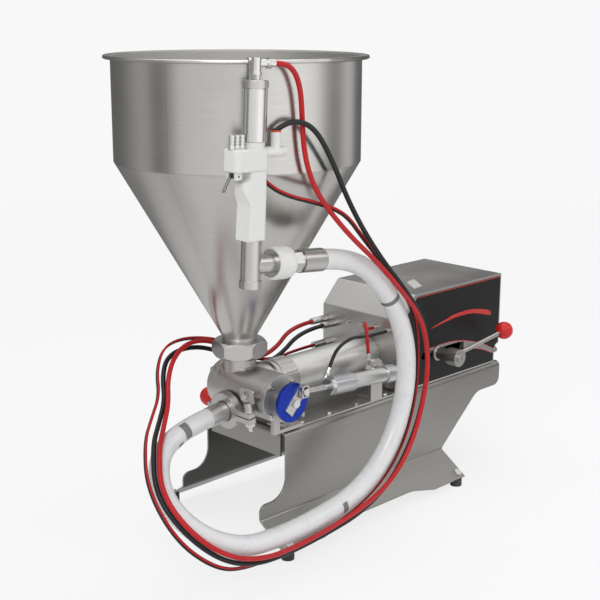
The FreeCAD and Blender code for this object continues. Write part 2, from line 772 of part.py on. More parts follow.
def union_nut():
    low = NUT_TOP - NUT_HEIGHT
    lip = gasket_top + FERRULE_THICK + SLIP
    body = hexagon(V(HOPPER_X, 0, low), NUT_FLATS, NUT_HEIGHT, 45)
    corner = NUT_FLATS / 2 / math.cos(math.radians(30))
    chamfer = 7.0
    profile = [(0, low - 1), (corner - chamfer, low - 1), (corner + 1, low + chamfer),
               (corner + 1, NUT_TOP - chamfer), (corner - chamfer, NUT_TOP + 1), (0, NUT_TOP + 1)]
    crown = revolved(profile, hopper_axis)
    body = body.common(crown)
    cavity = rod(V(HOPPER_X, 0, low - 1), V(HOPPER_X, 0, lip), FERRULE_RADIUS + SLIP)
    mouth = rod(V(HOPPER_X, 0, low), V(HOPPER_X, 0, NUT_TOP + 1), COLLAR_RADIUS + SLIP)
    return body.cut(cavity).cut(mouth)


# Rotary valve

valve_axis = V(HOPPER_X, 0, VALVE_Z)
bracket_face = VALVE_NEAR - BRACKET_THICK
spout_way = V(-math.cos(math.radians(SPOUT_PITCH)), 0, -math.sin(math.radians(SPOUT_PITCH)))
tail_length = (CLAMP_X - HOSE_ROUTE[-1].x) / math.cos(math.radians(SPOUT_PITCH))
clamp_point = HOSE_ROUTE[-1] - spout_way * tail_length


def along_spout(distance):
    return clamp_point + spout_way * distance


def on_shaft(y):
    """A point on the rotor's axis."""
    return V(HOPPER_X, y, VALVE_Z)


def valve_body():
    barrel = rod(on_shaft(VALVE_NEAR), on_shaft(VALVE_FAR), VALVE_RADIUS)
    neck = rod(valve_axis, V(HOPPER_X, 0, neck_top), NECK_RADIUS)
    low = NUT_TOP - NUT_HEIGHT
    thread = rod(V(HOPPER_X, 0, low + 2), V(HOPPER_X, 0, neck_top), NECK_THREAD)
    port = V(HOPPER_X, CYLINDER_Y, CYLINDER_Z)
    rear = V(CYLINDER_START, CYLINDER_Y, CYLINDER_Z)
    rear_boss = rod(port, rear, CYLINDER_RADIUS - 1)
    rear_flange = rod(rear - X * 9, rear, CYLINDER_RING_RADIUS)
    outlet = rod(along_spout(-50), along_spout(-FACE_GAP), SPOUT_RADIUS + 1)
    lip = rod(along_spout(-FACE_GAP - FLANGE_THICK), along_spout(-FACE_GAP), CLAMP_FERRULE)
    shape = join([barrel, neck, thread, rear_boss, rear_flange, outlet, lip])
    shape = shape.cut(rod(on_shaft(VALVE_FAR), on_shaft(VALVE_FAR + 20), VALVE_RADIUS))
    shape = shape.cut(rod(on_shaft(VALVE_NEAR - 1), on_shaft(VALVE_FAR + 1), ROTOR_RADIUS))
    shape = shape.cut(rod(valve_axis, V(HOPPER_X, 0, neck_top + 1), NECK_BORE))
    shape = shape.cut(rod(port, rear + X, CYLINDER_BORE - 8))
    shape = shape.cut(rod(along_spout(-46), along_spout(1), SPOUT_BORE))
    for y, way in ((VALVE_NEAR, Y), (VALVE_FAR, -Y)):
        for point in cover_bolt_places(y):
            shape = shape.cut(rod(point - way, point + way * 9, COVER_BOLT / 2 + SEAT))
    return shape


def cover_bolt_places(y):
    """Four bolt points around the rotor's axis at a cover."""
    middle = (ROTOR_RADIUS + VALVE_RADIUS) / 2
    places = []
    for k in range(4):
        a = math.radians(45 + 90 * k)
        places.append(V(HOPPER_X + middle * math.cos(a), y, VALVE_Z + middle * math.sin(a)))
    return places


def valve_rotor():
    start = VALVE_NEAR + SLIP
    end = VALVE_FAR - SLIP
    radius = ROTOR_RADIUS - SLIP
    plug = rod(on_shaft(start), on_shaft(end), radius)
    shaft = rod(on_shaft(CRANK_FACE + CRANK_THICK), on_shaft(start + 1), SHAFT_RADIUS)
    shape = join([plug, shaft])
    pocket_y = CYLINDER_Y / 2
    middle = V(HOPPER_X, pocket_y, VALVE_Z)
    up = rod(middle, middle + Z * 40, NECK_BORE - 6)
    back = rod(middle, middle + X * 40, NECK_BORE - 6)
    ball = Part.makeSphere(NECK_BORE - 6, middle)
    shape = shape.cut(up).cut(back).cut(ball)
    return shape.cut(rod(on_shaft(CRANK_FACE), on_shaft(CRANK_FACE + 30), CRANK_BOLT / 2 + SEAT))


def valve_bracket():
    """The near cover of the valve with a narrow leg and a foot on the deck plate."""
    cover = rod(on_shaft(VALVE_NEAR), on_shaft(bracket_face), VALVE_RADIUS)
    front = HOPPER_X - 17
    leg = box(front, front + BRACKET_LEG, bracket_face, VALVE_NEAR, plate_top, VALVE_Z)
    foot = box(PLATE_FRONT + 2, HOPPER_X + 50, bracket_face, VALVE_NEAR + 26, plate_top, plate_top + 6)
    toe = box(front, PLATE_FRONT + 3, bracket_face, VALVE_NEAR, plate_top, plate_top + 6)
    shape = join([cover, leg, foot, toe])
    shape = shape.cut(rod(on_shaft(bracket_face - 1), on_shaft(VALVE_NEAR + 1), SHAFT_RADIUS + SLIP))
    for point in cover_bolt_places(bracket_face):
        shape = shape.cut(rod(point - Y, point + Y * 20, COVER_BOLT / 2 + SLIP))
    for point in bracket_bolt_places():
        shape = shape.cut(rod(point - Z * 10, point + Z * 10, COVER_BOLT / 2 + SLIP))
    return shape


def bracket_bolt_places():
    return [V(x, VALVE_NEAR + 16, plate_top + 6) for x in (PLATE_FRONT + 9, HOPPER_X + 43)]


def bracket_bolts():
    bolts = [socket_bolt(p, -Y, COVER_BOLT, BRACKET_THICK + 7) for p in cover_bolt_places(bracket_face)]
    bolts += [socket_bolt(p, Z, COVER_BOLT, 6 + PLATE_THICK - 0.2) for p in bracket_bolt_places()]
    return bolts


cap_face = VALVE_FAR + CAP_THICK


def cap_disc():
    return rod(on_shaft(VALVE_FAR), on_shaft(cap_face), VALVE_RADIUS)


def valve_cap():
    """Far cover with an angle foot, held to the deck by the far clamp."""
    y0 = cap_face
    y1 = cap_face + FAR_PLATE
    shape = box(HOPPER_X - 17, HOPPER_X + 60, y0, y1, DECK_HEIGHT, VALVE_Z)
    shape = shape.fuse(rod(on_shaft(y0), on_shaft(y1), VALVE_RADIUS))
    foot = box(deck_front + 6, FAR_STUD_X + 16, y0, FAR_STUD_Y + 8, DECK_HEIGHT, DECK_HEIGHT + FAR_PLATE)
    shape = shape.cut(box(deck_front - 60, deck_front + 6, y0 - 1, y1 + 1, 0, VALVE_Z - 30))
    shape = join([shape, foot, cap_disc()])
    shape = shape.cut(rod(V(FAR_STUD_X, FAR_STUD_Y, 0), V(FAR_STUD_X, FAR_STUD_Y, 300), FAR_STUD + SLIP))
    for point in cover_bolt_places(y1):
        shape = shape.cut(rod(point + Y, point - Y * 20, COVER_BOLT / 2 + SLIP))
    return shape


def cap_bolts():
    face = cap_face + FAR_PLATE
    bolts = [socket_bolt(p, Y, COVER_BOLT, FAR_PLATE + CAP_THICK + 7) for p in cover_bolt_places(face)]
    return bolts


# Far clamp with a ball lever

far_hub_low = DECK_HEIGHT + FAR_PLATE + 3 + SLIP
far_lever_z = DECK_HEIGHT + 22


def far_stud():
    """Threaded stud with a welded washer under the hub."""
    at = V(FAR_STUD_X, FAR_STUD_Y, 0)
    low = DECK_HEIGHT - BASE_SHEET - 9
    column = rod(at + Z * low, at + Z * (far_lever_z + 4), FAR_STUD)
    washer = rod(at + Z * (DECK_HEIGHT + FAR_PLATE), at + Z * (DECK_HEIGHT + FAR_PLATE + 3), FAR_HUB)
    nut = hexagon(at + Z * (DECK_HEIGHT - BASE_SHEET - 6), FAR_STUD * 2.5, 6)
    return join([column, washer, nut])


def far_lever_hub():
    at = V(FAR_STUD_X, FAR_STUD_Y, 0)
    hub = rod(at + Z * far_hub_low, at + Z * (far_lever_z + 11), FAR_HUB)
    dome = Part.makeSphere(FAR_HUB, at + Z * (far_lever_z + 4))
    hub = join([hub, dome.common(rod(at + Z * far_lever_z, at + Z * (far_lever_z + 40), FAR_HUB))])
    tip = at + V(-FAR_LEVER_REACH + BALL_RADIUS * 0.5, 0, far_lever_z)
    arm = rod(at + V(-FAR_HUB * 0.5, 0, far_lever_z), tip, LEVER_ROD)
    shape = join([hub, arm])
    return shape.cut(rod(at, at + Z * (far_lever_z + 4 + SLIP), FAR_STUD + SLIP))


def ball_knob(centre, way):
    """A ball handle, bored for its rod."""
    ball = Part.makeSphere(BALL_RADIUS, centre)
    bore = rod(centre - way * (BALL_RADIUS + 2), centre - way * (BALL_RADIUS * 0.5 - SEAT), LEVER_ROD + SEAT)
    return ball.cut(bore)


def far_ball():
    return ball_knob(V(FAR_STUD_X - FAR_LEVER_REACH, FAR_STUD_Y, far_lever_z), -X)


# Outlet spout with its ring clamp

def ferrule_tail():
    """Tube with a clamp ferrule at one end; the hose starts at the other."""
    lip = rod(along_spout(0), along_spout(FLANGE_THICK), CLAMP_FERRULE)
    end = HOSE_ROUTE[-1]
    shape = join([lip, rod(along_spout(0), end + spout_way, SPOUT_RADIUS)])
    shape = squared(shape, end, HOSE_ROUTE[-2] - end)
    return shape.cut(rod(along_spout(-1), end + spout_way, SPOUT_BORE))


def spout_gasket():
    return pipe(along_spout(-FACE_GAP), along_spout(0), CLAMP_FERRULE - 1, SPOUT_BORE)


def clamp_middle():
    return along_spout(-FACE_GAP / 2)


bolt_y = -CLAMP_BOLT_OFFSET


def clamp_knuckle(start, end, side):
    """Hinge knuckle of one jaw, kept clear of the other jaw."""
    low, high = sorted((0.5 * side, 6 * side))
    root = box(start, end, CLAMP_OUTER - 3, CLAMP_OUTER + 1, low, high)
    return box(start, end, CLAMP_OUTER + SLIP, CLAMP_OUTER + 9, -6, 6).fuse(root)


def clamp_jaw(side):
    """One jaw of the ring clamp with its lug on the near side; side is 1 for the upper jaw."""
    half = CLAMP_WIDTH / 2
    groove = FLANGE_THICK + FACE_GAP / 2 + SLIP
    ring = rod(X * -half, X * half, CLAMP_OUTER)
    ring = ring.cut(rod(X * -groove, X * groove, CLAMP_FERRULE + SLIP))
    ring = ring.cut(rod(X * -20, X * 20, SPOUT_RADIUS + 1 + SLIP))
    low, high = sorted((0.5 * side, 60 * side))
    ring = ring.common(box(-60, 60, -60, 60, low, high))
    low, high = sorted((side, side * (1 + LUG_THICK)))
    lug = box(-LUG_WIDTH / 2, LUG_WIDTH / 2, bolt_y - LUG_WIDTH / 2, -CLAMP_OUTER + 3, low, high)
    if side > 0:
        knuckle = clamp_knuckle(-half, 0, side)
    else:
        knuckle = clamp_knuckle(SLIP, half, side)
    shape = ring.multiFuse([lug, knuckle])
    shape = shape.cut(rod(V(0, bolt_y, -40), V(0, bolt_y, 40), CLAMP_BOLT / 2 + SLIP))
    shape = shape.cut(rod(V(-20, CLAMP_OUTER + 3, 0), V(20, CLAMP_OUTER + 3, 0), CLAMP_PIN / 2 + SEAT))
    return clamp_place(shape.removeSplitter())


def clamp_up():
    """The direction square to the spout in its vertical plane."""
    return V(spout_way.z, 0, -spout_way.x)


def clamp_place(shape):
    """Move a shape modelled about the origin onto the clamp, its Z along the clamp's up."""
    return aim(shape, clamp_middle(), clamp_up())


def clamp_bolt():
    """Stud of the ring clamp, through both lugs, and the pin of the far hinge."""
    stud = rod(V(0, bolt_y, -STUD_BELOW), V(0, bolt_y, STUD_ABOVE), CLAMP_BOLT / 2)
    head = box(-6, 6, bolt_y - 5, bolt_y + 5, -1 - LUG_THICK - 6, -1 - LUG_THICK)
    reach = CLAMP_WIDTH / 2 + 1
    pin = rod(V(-reach, CLAMP_OUTER + 3, 0), V(reach, CLAMP_OUTER + 3, 0), CLAMP_PIN / 2)
    return Part.makeCompound([clamp_place(join([stud, head])), clamp_place(pin)])


def wing_nut():
    """Nut with a flat holed tab above it."""
    low = 1 + LUG_THICK + SLIP
    body = rod(V(0, bolt_y, low), V(0, bolt_y, STUD_ABOVE + 2), CLAMP_BOLT)
    skirt = rod(V(0, bolt_y, low), V(0, bolt_y, low + 3), CLAMP_BOLT * 1.1)
    half = WING_WIDTH / 2
    side = -WING_THICK / 2
    root = STUD_ABOVE - 1
    outline = [(-half, WING_LOW), (-half, WING_HIGH), (half, WING_HIGH), (half, WING_LOW)]
    outline += [(5, root), (-5, root)]
    corners = [V(side, bolt_y + y, z) for y, z in outline]
    tab = plate(corners, [4, 4, 4, 0, 0], X * WING_THICK)
    hole_z = (WING_LOW + WING_HIGH) / 2
    tab = tab.cut(rod(V(-5, bolt_y, hole_z), V(5, bolt_y, hole_z), WING_HOLE))
    shape = join([body, skirt, tab])
    bore = rod(V(0, bolt_y, 0), V(0, bolt_y, STUD_ABOVE + SLIP), CLAMP_BOLT / 2 + SLIP)
    return clamp_place(shape.cut(bore))


# Product cylinder and the drive cylinder behind it

def on_cylinder(x):
    return V(x, CYLINDER_Y, CYLINDER_Z)


def product_tube():
    return pipe(on_cylinder(CYLINDER_START), on_cylinder(CYLINDER_END), CYLINDER_RADIUS, CYLINDER_BORE)


def cylinder_ring():
    """Dark ring nut at the valve end of the product cylinder."""
    end = CYLINDER_START + CYLINDER_RING_LENGTH
    shape = pipe(on_cylinder(CYLINDER_START), on_cylinder(end), CYLINDER_RING_RADIUS + 1, CYLINDER_RADIUS)
    for k in range(12):
        a = math.radians(30 * k)
        out = V(0, math.cos(a), math.sin(a)) * (CYLINDER_RING_RADIUS + 2)
        shape = shape.cut(rod(on_cylinder(CYLINDER_START + 6) + out, on_cylinder(end + 1) + out, 2.2))
    return shape


def cylinder_collar():
    start = CABINET_FRONT - 7
    return pipe(on_cylinder(start), on_cylinder(CABINET_FRONT), CYLINDER_RING_RADIUS + 1, CYLINDER_RADIUS)


def product_piston():
    """Piston, its rod and the drive piston at the other end."""
    rest = PISTON_REST
    head = rod(on_cylinder(rest), on_cylinder(rest + PISTON_LENGTH), CYLINDER_BORE - SLIP)
    for x in (rest + 7, rest + PISTON_LENGTH - 7):
        head = head.cut(pipe(on_cylinder(x - 1), on_cylinder(x + 1), CYLINDER_BORE + 1, CYLINDER_BORE - 2))
    start = drive_piston_start
    drive = rod(on_cylinder(start), on_cylinder(start + DRIVE_PISTON), DRIVE_BORE - SLIP)
    stem = rod(on_cylinder(rest + 1), on_cylinder(start + 1), PISTON_ROD_RADIUS)
    return join([head, stem, drive])


def drive_tube():
    return pipe(on_cylinder(drive_start), on_cylinder(drive_end), DRIVE_RADIUS, DRIVE_BORE)


def cap_foot(start):
    """The block under a cap of the drive cylinder, down to the deck."""
    half = CYLINDER_RADIUS - 8
    return box(start, start + DRIVE_CAP, CYLINDER_Y - half, CYLINDER_Y + half, DECK_HEIGHT, CYLINDER_Z)


def middle_cap():
    """Cap between the product tube and the drive tube, with a nose in each."""
    disc = rod(on_cylinder(CYLINDER_END), on_cylinder(drive_start), CYLINDER_RADIUS + 2)
    nose = rod(on_cylinder(CYLINDER_END - 5), on_cylinder(CYLINDER_END + 1), CYLINDER_BORE)
    rear_nose = rod(on_cylinder(drive_start - 1), on_cylinder(drive_start + 5), DRIVE_BORE)
    bore = rod(on_cylinder(CYLINDER_END - 9), on_cylinder(drive_start + 9), PISTON_ROD_RADIUS + SLIP)
    return join([disc, nose, rear_nose, cap_foot(CYLINDER_END)]).cut(bore)


def rear_cap():
    disc = rod(on_cylinder(drive_end), on_cylinder(drive_end + DRIVE_CAP), CYLINDER_RADIUS + 2)
    nose = rod(on_cylinder(drive_end - 5), on_cylinder(drive_end + 1), DRIVE_BORE)
    return join([disc, nose, cap_foot(drive_end)])


# Crank on the valve's shaft

def crank_disc():
    disc = rod(on_shaft(CRANK_FACE), on_shaft(CRANK_FACE + CRANK_THICK), CRANK_RADIUS)
    return disc.cut(rod(on_shaft(CRANK_FACE - 1), on_shaft(bracket_face), CRANK_BOLT / 2 + SEAT))


def crank_hub():
    """Steel sleeve on the shaft between the disc and the valve's near cover."""
    return pipe(on_shaft(CRANK_FACE + CRANK_THICK), on_shaft(bracket_face - SLIP), CRANK_HUB, SHAFT_RADIUS)


def crank_point(distance, y):
    a = math.radians(CRANK_ANGLE)
    return V(HOPPER_X + distance * math.cos(a), y, VALVE_Z + distance * math.sin(a))


plate_face = CRANK_FACE - CRANK_PLATE_THICK


def crank_plate():
    """Pale bar across the disc that carries the crank pin."""
    half = CRANK_PLATE_WIDTH / 2
    tail = CRANK_RADIUS - 13
    points = [V(-tail, plate_face, -half), V(CRANK_ARM + half, plate_face, -half),
              V(CRANK_ARM + half, plate_face, half), V(-tail, plate_face, half)]
    bar = plate(points, [half - 1, half - 1, 0], Y * CRANK_PLATE_THICK)
    bar = bar.cut(rod(V(0, plate_face - 1, 0), V(0, CRANK_FACE + 1, 0), CRANK_BOLT / 2 + SEAT))
    bar = bar.cut(rod(V(CRANK_ARM, plate_face - 1, 0), V(CRANK_ARM, CRANK_FACE + 1, 0), CRANK_PIN + SEAT))
    bar.Placement = FreeCAD.Placement(V(HOPPER_X, 0, VALVE_Z), FreeCAD.Rotation(V(0, -1, 0), CRANK_ANGLE))
    return bar


def crank_bolt():
    return bolt(on_shaft(plate_face), -Y, CRANK_BOLT, CRANK_PLATE_THICK + CRANK_THICK + 16)


def crank_pin():
    face = ROD_PLANE - ROD_END / 2
    stem = rod(crank_point(CRANK_ARM, CRANK_FACE), crank_point(CRANK_ARM, face - 3), CRANK_PIN)
    head = rod(crank_point(CRANK_ARM, face - 2.5), crank_point(CRANK_ARM, face - 0.5), CRANK_PIN * 1.9)
    return join([stem, head])


# Small actuator that turns the crank

def along_actuator(distance, y=ROD_PLANE, lift=0.0):
    """A point on the actuator's axis, measured from the crank pin at rest."""
    a = math.radians(ACTUATOR_TILT)
    start = crank_point(CRANK_ARM, y)
    return start + V(math.cos(a) * distance, 0, -math.sin(a) * distance + lift)


def actuator_section(start, end, radius):
    return rod(along_actuator(start), along_actuator(end), radius)


def actuator_barrel():
    tube = actuator_section(tube_start, tube_end, ACTUATOR_BARREL)
    return tube.cut(actuator_section(tube_start - 1, tube_end + 1, ACTUATOR_BORE))


def actuator_front_cap():
    cap = actuator_section(ACTUATOR_FRONT, tube_start, ACTUATOR_CAP)
    nut = aim(hexagon(V(0, 0, 0), ACTUATOR_CAP * 1.6, 8), along_actuator(ACTUATOR_FRONT + 1),
              along_actuator(0) - along_actuator(1))
    shape = join([cap, nut])
    return shape.cut(actuator_section(ACTUATOR_FRONT - 12, tube_start + 1, ACTUATOR_ROD + SLIP))


def actuator_rear_cap():
    cap = actuator_section(tube_end, tube_end + ACTUATOR_REAR_CAP, ACTUATOR_CAP)
    middle = along_actuator(eye_distance, ROD_PLANE - EYE_THICK / 2)
    eye = rod(middle, middle + Y * EYE_THICK, ACTUATOR_EYE)
    neck = box(-ACTUATOR_EYE * 1.2, 0, -EYE_THICK / 2, EYE_THICK / 2, -9, 9)
    neck.Placement = FreeCAD.Placement(along_actuator(eye_distance), FreeCAD.Rotation(Y, ACTUATOR_TILT))
    shape = join([cap, eye, neck])
    return shape.cut(rod(middle - Y, middle + Y * (EYE_THICK + 1), PIVOT_PIN + SLIP))


def actuator_rod():
    """Piston rod with the piston inside the barrel and the slotted end at the crank pin."""
    stem = actuator_section(ROD_END * 0.8, tube_end - 3, ACTUATOR_ROD)
    piston = actuator_section(tube_end - 15, tube_end - 3, ACTUATOR_BORE - SLIP)
    half = ROD_END
    y = ROD_PLANE - ROD_END / 2
    low = along_actuator(0, y, -SLOT_BELOW - ROD_END_WALL)
    high = PIN_SLOT + 2 * ROD_END_WALL
    corners = [V(-half, 0, 0), V(half, 0, 0), V(half, 0, high), V(-half, 0, high)]
    block = plate([low + c for c in corners], [3, 6, 6], Y * ROD_END)
    shape = join([block, stem, piston])
    slot_low = along_actuator(0, y, -SLOT_BELOW)
    width = CRANK_PIN + SLOT_SIDE
    points = [slot_low + c for c in (V(-width, -1, 0), V(width, -1, 0), V(width, -1, PIN_SLOT),
                                     V(-width, -1, PIN_SLOT))]
    return shape.cut(plate(points, [3, 3, 3], Y * (ROD_END + 2)))


def actuator_elbows():
    """Angle fittings on the far side of the two caps."""
    fittings = []
    for distance, rise, tip in ((FRONT_PORT, 15, FRONT_LINE_START), (rear_port, 28, REAR_LINE_START)):
        base = along_actuator(distance, ROD_PLANE + ACTUATOR_CAP)
        corner = V(base.x, tip.y, base.z)
        out = tip - corner
        reach = out.Length
        out.normalize()
        body = rod(base, corner, 5)
        knee = Part.makeSphere(5.5, corner)
        foot = aim(hexagon(V(0, 0, 0), 12, 5), base, Y)
        arm = rod(corner, tip, SMALL_LINE_RADIUS + 1.5)
        nut = aim(hexagon(V(0, 0, 0), 10.5, reach * 0.3), corner + out * (reach * 0.35), out)
        fittings.append(pierced(join([body, knee, foot, arm, nut]), tip, out, SMALL_LINE_RADIUS, 5))
    return Part.makeCompound(fittings)


def actuator_bracket():
    """Upright plate on the deck plate with the shoulder pin for the actuator's eye."""
    eye = along_actuator(eye_distance)
    face = PLATE_NEAR + BRACKET_THICK
    upright = box(eye.x - 15, eye.x + 15, PLATE_NEAR, face, plate_top, eye.z + 4)
    head = rod(V(eye.x, PLATE_NEAR, eye.z), V(eye.x, face, eye.z), 15)
    foot = box(eye.x - 15, eye.x + 15, PLATE_NEAR, PLATE_NEAR + 34, plate_top, plate_top + 6)
    shoulder = rod(V(eye.x, PLATE_NEAR + 1, eye.z), V(eye.x, ROD_PLANE + EYE_THICK / 2 + SLIP, eye.z), 8)
    pin = rod(V(eye.x, PLATE_NEAR + 1, eye.z), V(eye.x, ROD_PLANE - EYE_THICK / 2 - 3, eye.z), PIVOT_PIN)
    return join([upright, head, foot, shoulder, pin])


def pivot_clip():
    eye = along_actuator(eye_distance)
    start = ROD_PLANE - EYE_THICK / 2 - SLIP
    return pipe(V(eye.x, start, eye.z), V(eye.x, start - 2, eye.z), PIVOT_PIN * 2, PIVOT_PIN)


def line_glands():
    """Two small fittings where the actuator lines enter the cabinet."""
    glands = []
    for point in actuator_hose_holes():
        tip = point - X * GLAND_REACH
        body = rod(point, tip, SMALL_LINE_RADIUS + 2.5)
        thread = rod(point - X, point + X * (CABINET_SHEET + 5), SMALL_LINE_RADIUS + 1)
        glands.append(pierced(join([body, thread]), tip, -X, SMALL_LINE_RADIUS, 5))
    return glands


# Volume setting: a carriage that slides behind the slot and its ball lever

def volume_rail():
    """Round rail on two posts inside the cabinet."""
    bar = rod(V(SLOT_START - 20, RAIL_Y, LEVER_Z), V(SLOT_END + 20, RAIL_Y, LEVER_Z), RAIL_RADIUS)
    posts = [box(x - 4, x + 4, RAIL_Y - 7, RAIL_Y + 7, DECK_HEIGHT, LEVER_Z + 9)
             for x in (SLOT_START - 22, SLOT_END + 22)]
    return join([bar] + posts)


def volume_carriage():
    inner = -cabinet_side + CABINET_SHEET + 6
    block = box(LEVER_X - 10, LEVER_X + 10, inner, RAIL_Y + 9, LEVER_Z - 10, LEVER_Z + 10)
    stud = rod(V(LEVER_X, inner + 1, LEVER_Z), V(LEVER_X, HUB_END + SLIP, LEVER_Z), STUD_RADIUS)
    shape = join([block, stud])
    rail = rod(V(LEVER_X - 20, RAIL_Y, LEVER_Z), V(LEVER_X + 20, RAIL_Y, LEVER_Z), RAIL_RADIUS + SLIP)
    shape = shape.cut(rail)
    return shape.cut(rod(V(LEVER_X, HUB_END, LEVER_Z), V(LEVER_X, HUB_END + 14, LEVER_Z), 2.5 + SEAT))


def volume_washer():
    """Large washer and distance sleeve between the label face and the lever hub."""
    start = -cabinet_side - LABEL_THICK - SLIP
    middle = start - 4
    washer = pipe(V(LEVER_X, start, LEVER_Z), V(LEVER_X, middle, LEVER_Z), 15, STUD_RADIUS)
    sleeve = pipe(V(LEVER_X, middle, LEVER_Z), V(LEVER_X, HUB_START + SLIP, LEVER_Z), 12, STUD_RADIUS)
    return join([washer, sleeve])


def lever_root():
    """The point in the hub from which the near lever's rod starts."""
    return V(LEVER_X, (HUB_START + HUB_END) / 2, LEVER_Z + LEVER_ROOT_RISE)


def volume_lever():
    hub = rod(V(LEVER_X, HUB_START, LEVER_Z), V(LEVER_X, HUB_END, LEVER_Z), HUB_RADIUS)
    root = lever_root()
    way = near_ball_centre - root
    way.normalize()
    arm = rod(root + way * 10, near_ball_centre - way * (BALL_RADIUS * 0.5), LEVER_ROD)
    shape = join([hub, arm])
    bore = rod(V(LEVER_X, HUB_START + 1, LEVER_Z), V(LEVER_X, HUB_END - 1, LEVER_Z), STUD_RADIUS + SLIP)
    return shape.cut(bore)


def near_ball():
    way = near_ball_centre - lever_root()
    way.normalize()
    return ball_knob(near_ball_centre, way)


def volume_screw():
    point = V(LEVER_X, HUB_END - SLIP, LEVER_Z)
    head = rod(V(0, 0, 0), V(0, 0, 3.5), 8.5)
    head = head.cut(hexagon(V(0, 0, 1.5), 5, 4))
    return aim(join([head, rod(V(0, 0, -13), V(0, 0, 0.1), 2.5)]), point, -Y)


# Hand gun, modelled upright on its own axis with true heights, then leaned

gun_middle = (GUN_TOP + GUN_NOZZLE_END) / 2
gun_up = V(math.sin(math.radians(GUN_LEAN)) * 0.707, -math.sin(math.radians(GUN_LEAN)) * 0.707,
           math.cos(math.radians(GUN_LEAN)))
gun_frame = FreeCAD.Placement(V(GUN_X, GUN_Y, gun_middle), FreeCAD.Rotation(Z, gun_up))


def gun_point(x, y, z):
    return gun_frame.multVec(V(x, y, z - gun_middle))


def gun_place(shape):
    moved = shape.copy()
    moved.Placement = gun_frame.multiply(FreeCAD.Placement(V(0, 0, -gun_middle), FreeCAD.Rotation()))
    return moved


def upright(z0, z1, radius):
    return rod(V(0, 0, z0), V(0, 0, z1), radius)


def gun_barrel():
    tube = upright(barrel_low, barrel_high, GUN_BARREL)
    cap = upright(barrel_high - 1, GUN_TOP, GUN_BARREL - 2.5)
    shape = join([tube, cap])
    shape = shape.cut(upright(barrel_low - 1, barrel_high - 4, GUN_BARREL - 3))
    return gun_place(shape.cut(upright(barrel_high - 10, GUN_TOP + 1, 3)))


def gun_plunger():
    """Air piston, long stem and the stopper that closes the nozzle."""
    piston = upright(barrel_low + 12, barrel_low + 24, GUN_BARREL - 3 - SLIP)
    stem = upright(GUN_NOZZLE_END + 8, barrel_low + 13, GUN_STEM)
    stopper = upright(GUN_NOZZLE_END + 2, GUN_NOZZLE_END + 9, GUN_ORIFICE - SLIP)
    return gun_place(join([piston, stem, stopper]))


def gun_head():
    """White block: skirt under the barrel, head with rounded corners and grip below."""
    half = GUN_HEAD_WIDTH / 2
    top = GUN_HEAD_Z + GUN_HEAD_HEIGHT
    corners = [V(GUN_HEAD_REAR, 0, GUN_HEAD_Z), V(GUN_HEAD_REAR, half, GUN_HEAD_Z),
               V(-GUN_HEAD_FRONT, half, GUN_HEAD_Z), V(-GUN_HEAD_FRONT, -half, GUN_HEAD_Z),
               V(GUN_HEAD_REAR, -half, GUN_HEAD_Z)]
    head = plate(corners, [HEAD_CORNER] * 4, Z * GUN_HEAD_HEIGHT)
    level = [e for e in head.Edges if e.BoundBox.ZLength < 0.01]
    head = head.makeFillet(HEAD_EDGE, level)
    skirt = upright(top - 1, barrel_low, GUN_BARREL - 2)
    shape = join([head, skirt])
    for side in (-1, 1):
        near, far = sorted((side * 6, side * 10))
        lug = box(-GUN_HEAD_FRONT + 4, -GUN_HEAD_FRONT + 16, near, far, GUN_HEAD_Z - 11, GUN_HEAD_Z + 1)
        shape = shape.fuse(lug)
    shape = shape.cut(rod(trigger_axis(-12), trigger_axis(12), TRIGGER_PIN + SEAT))
    for x in silencer_places():
        shape = shape.cut(rod(V(x, 0, top - 8), V(x, 0, top + 1), 3))
    shape = shape.fuse(gun_grip())
    return gun_place(shape.cut(upright(GUN_GRIP_Z - 1, barrel_low + 1, GUN_STEM + SLIP)).removeSplitter())


def gun_grip():
    """Grip column with a finger stop in front."""
    half = GUN_GRIP_DEPTH / 2
    top = GUN_HEAD_Z
    low = GUN_GRIP_Z
    rear = [(half, low), (half, top - 52), (half - 5, top - 12), (half - 5, top)]
    front = [(-half + 2, top), (-half + 2, top - 10), (-half - 9, top - 16), (-half - 9, top - 28),
             (-half + 1, top - 48), (-half, low)]
    corners = [V(x, 0, z) for x, z in rear + front]
    side = plate([c - Y * 30 for c in corners], [40, 20, 0, 0, 4, 4, 6, 16, 0], Y * 60)
    wide = GUN_GRIP_WIDTH / 2
    plan = [V(half, 0, low), V(half, wide, low), V(-half - 9, wide, low), V(-half - 9, -wide, low),
            V(half, -wide, low)]
    column = plate(plan, [8, 8, 8, 8], Z * (top - low))
    return side.common(column)


def trigger_axis(y):
    return V(-GUN_HEAD_FRONT + 10, y, GUN_HEAD_Z - 6)


def gun_trigger():
    """Bent wire lever on a small boss under the head."""
    start = trigger_axis(0)
    boss = rod(trigger_axis(-6 + SLIP), trigger_axis(6 - SLIP), 4)
    knee = start - V(TRIGGER_KNEE, 0, 2)
    tip = start - V(TRIGGER_REACH, 0, TRIGGER_DROP)
    wire = [rod(start, knee, TRIGGER_WIRE), rod(knee, tip, TRIGGER_WIRE)]
    wire += [Part.makeSphere(TRIGGER_WIRE, point) for point in (knee, tip)]
    axle = rod(trigger_axis(-10), trigger_axis(10), TRIGGER_PIN)
    return gun_place(join([boss, axle] + wire))


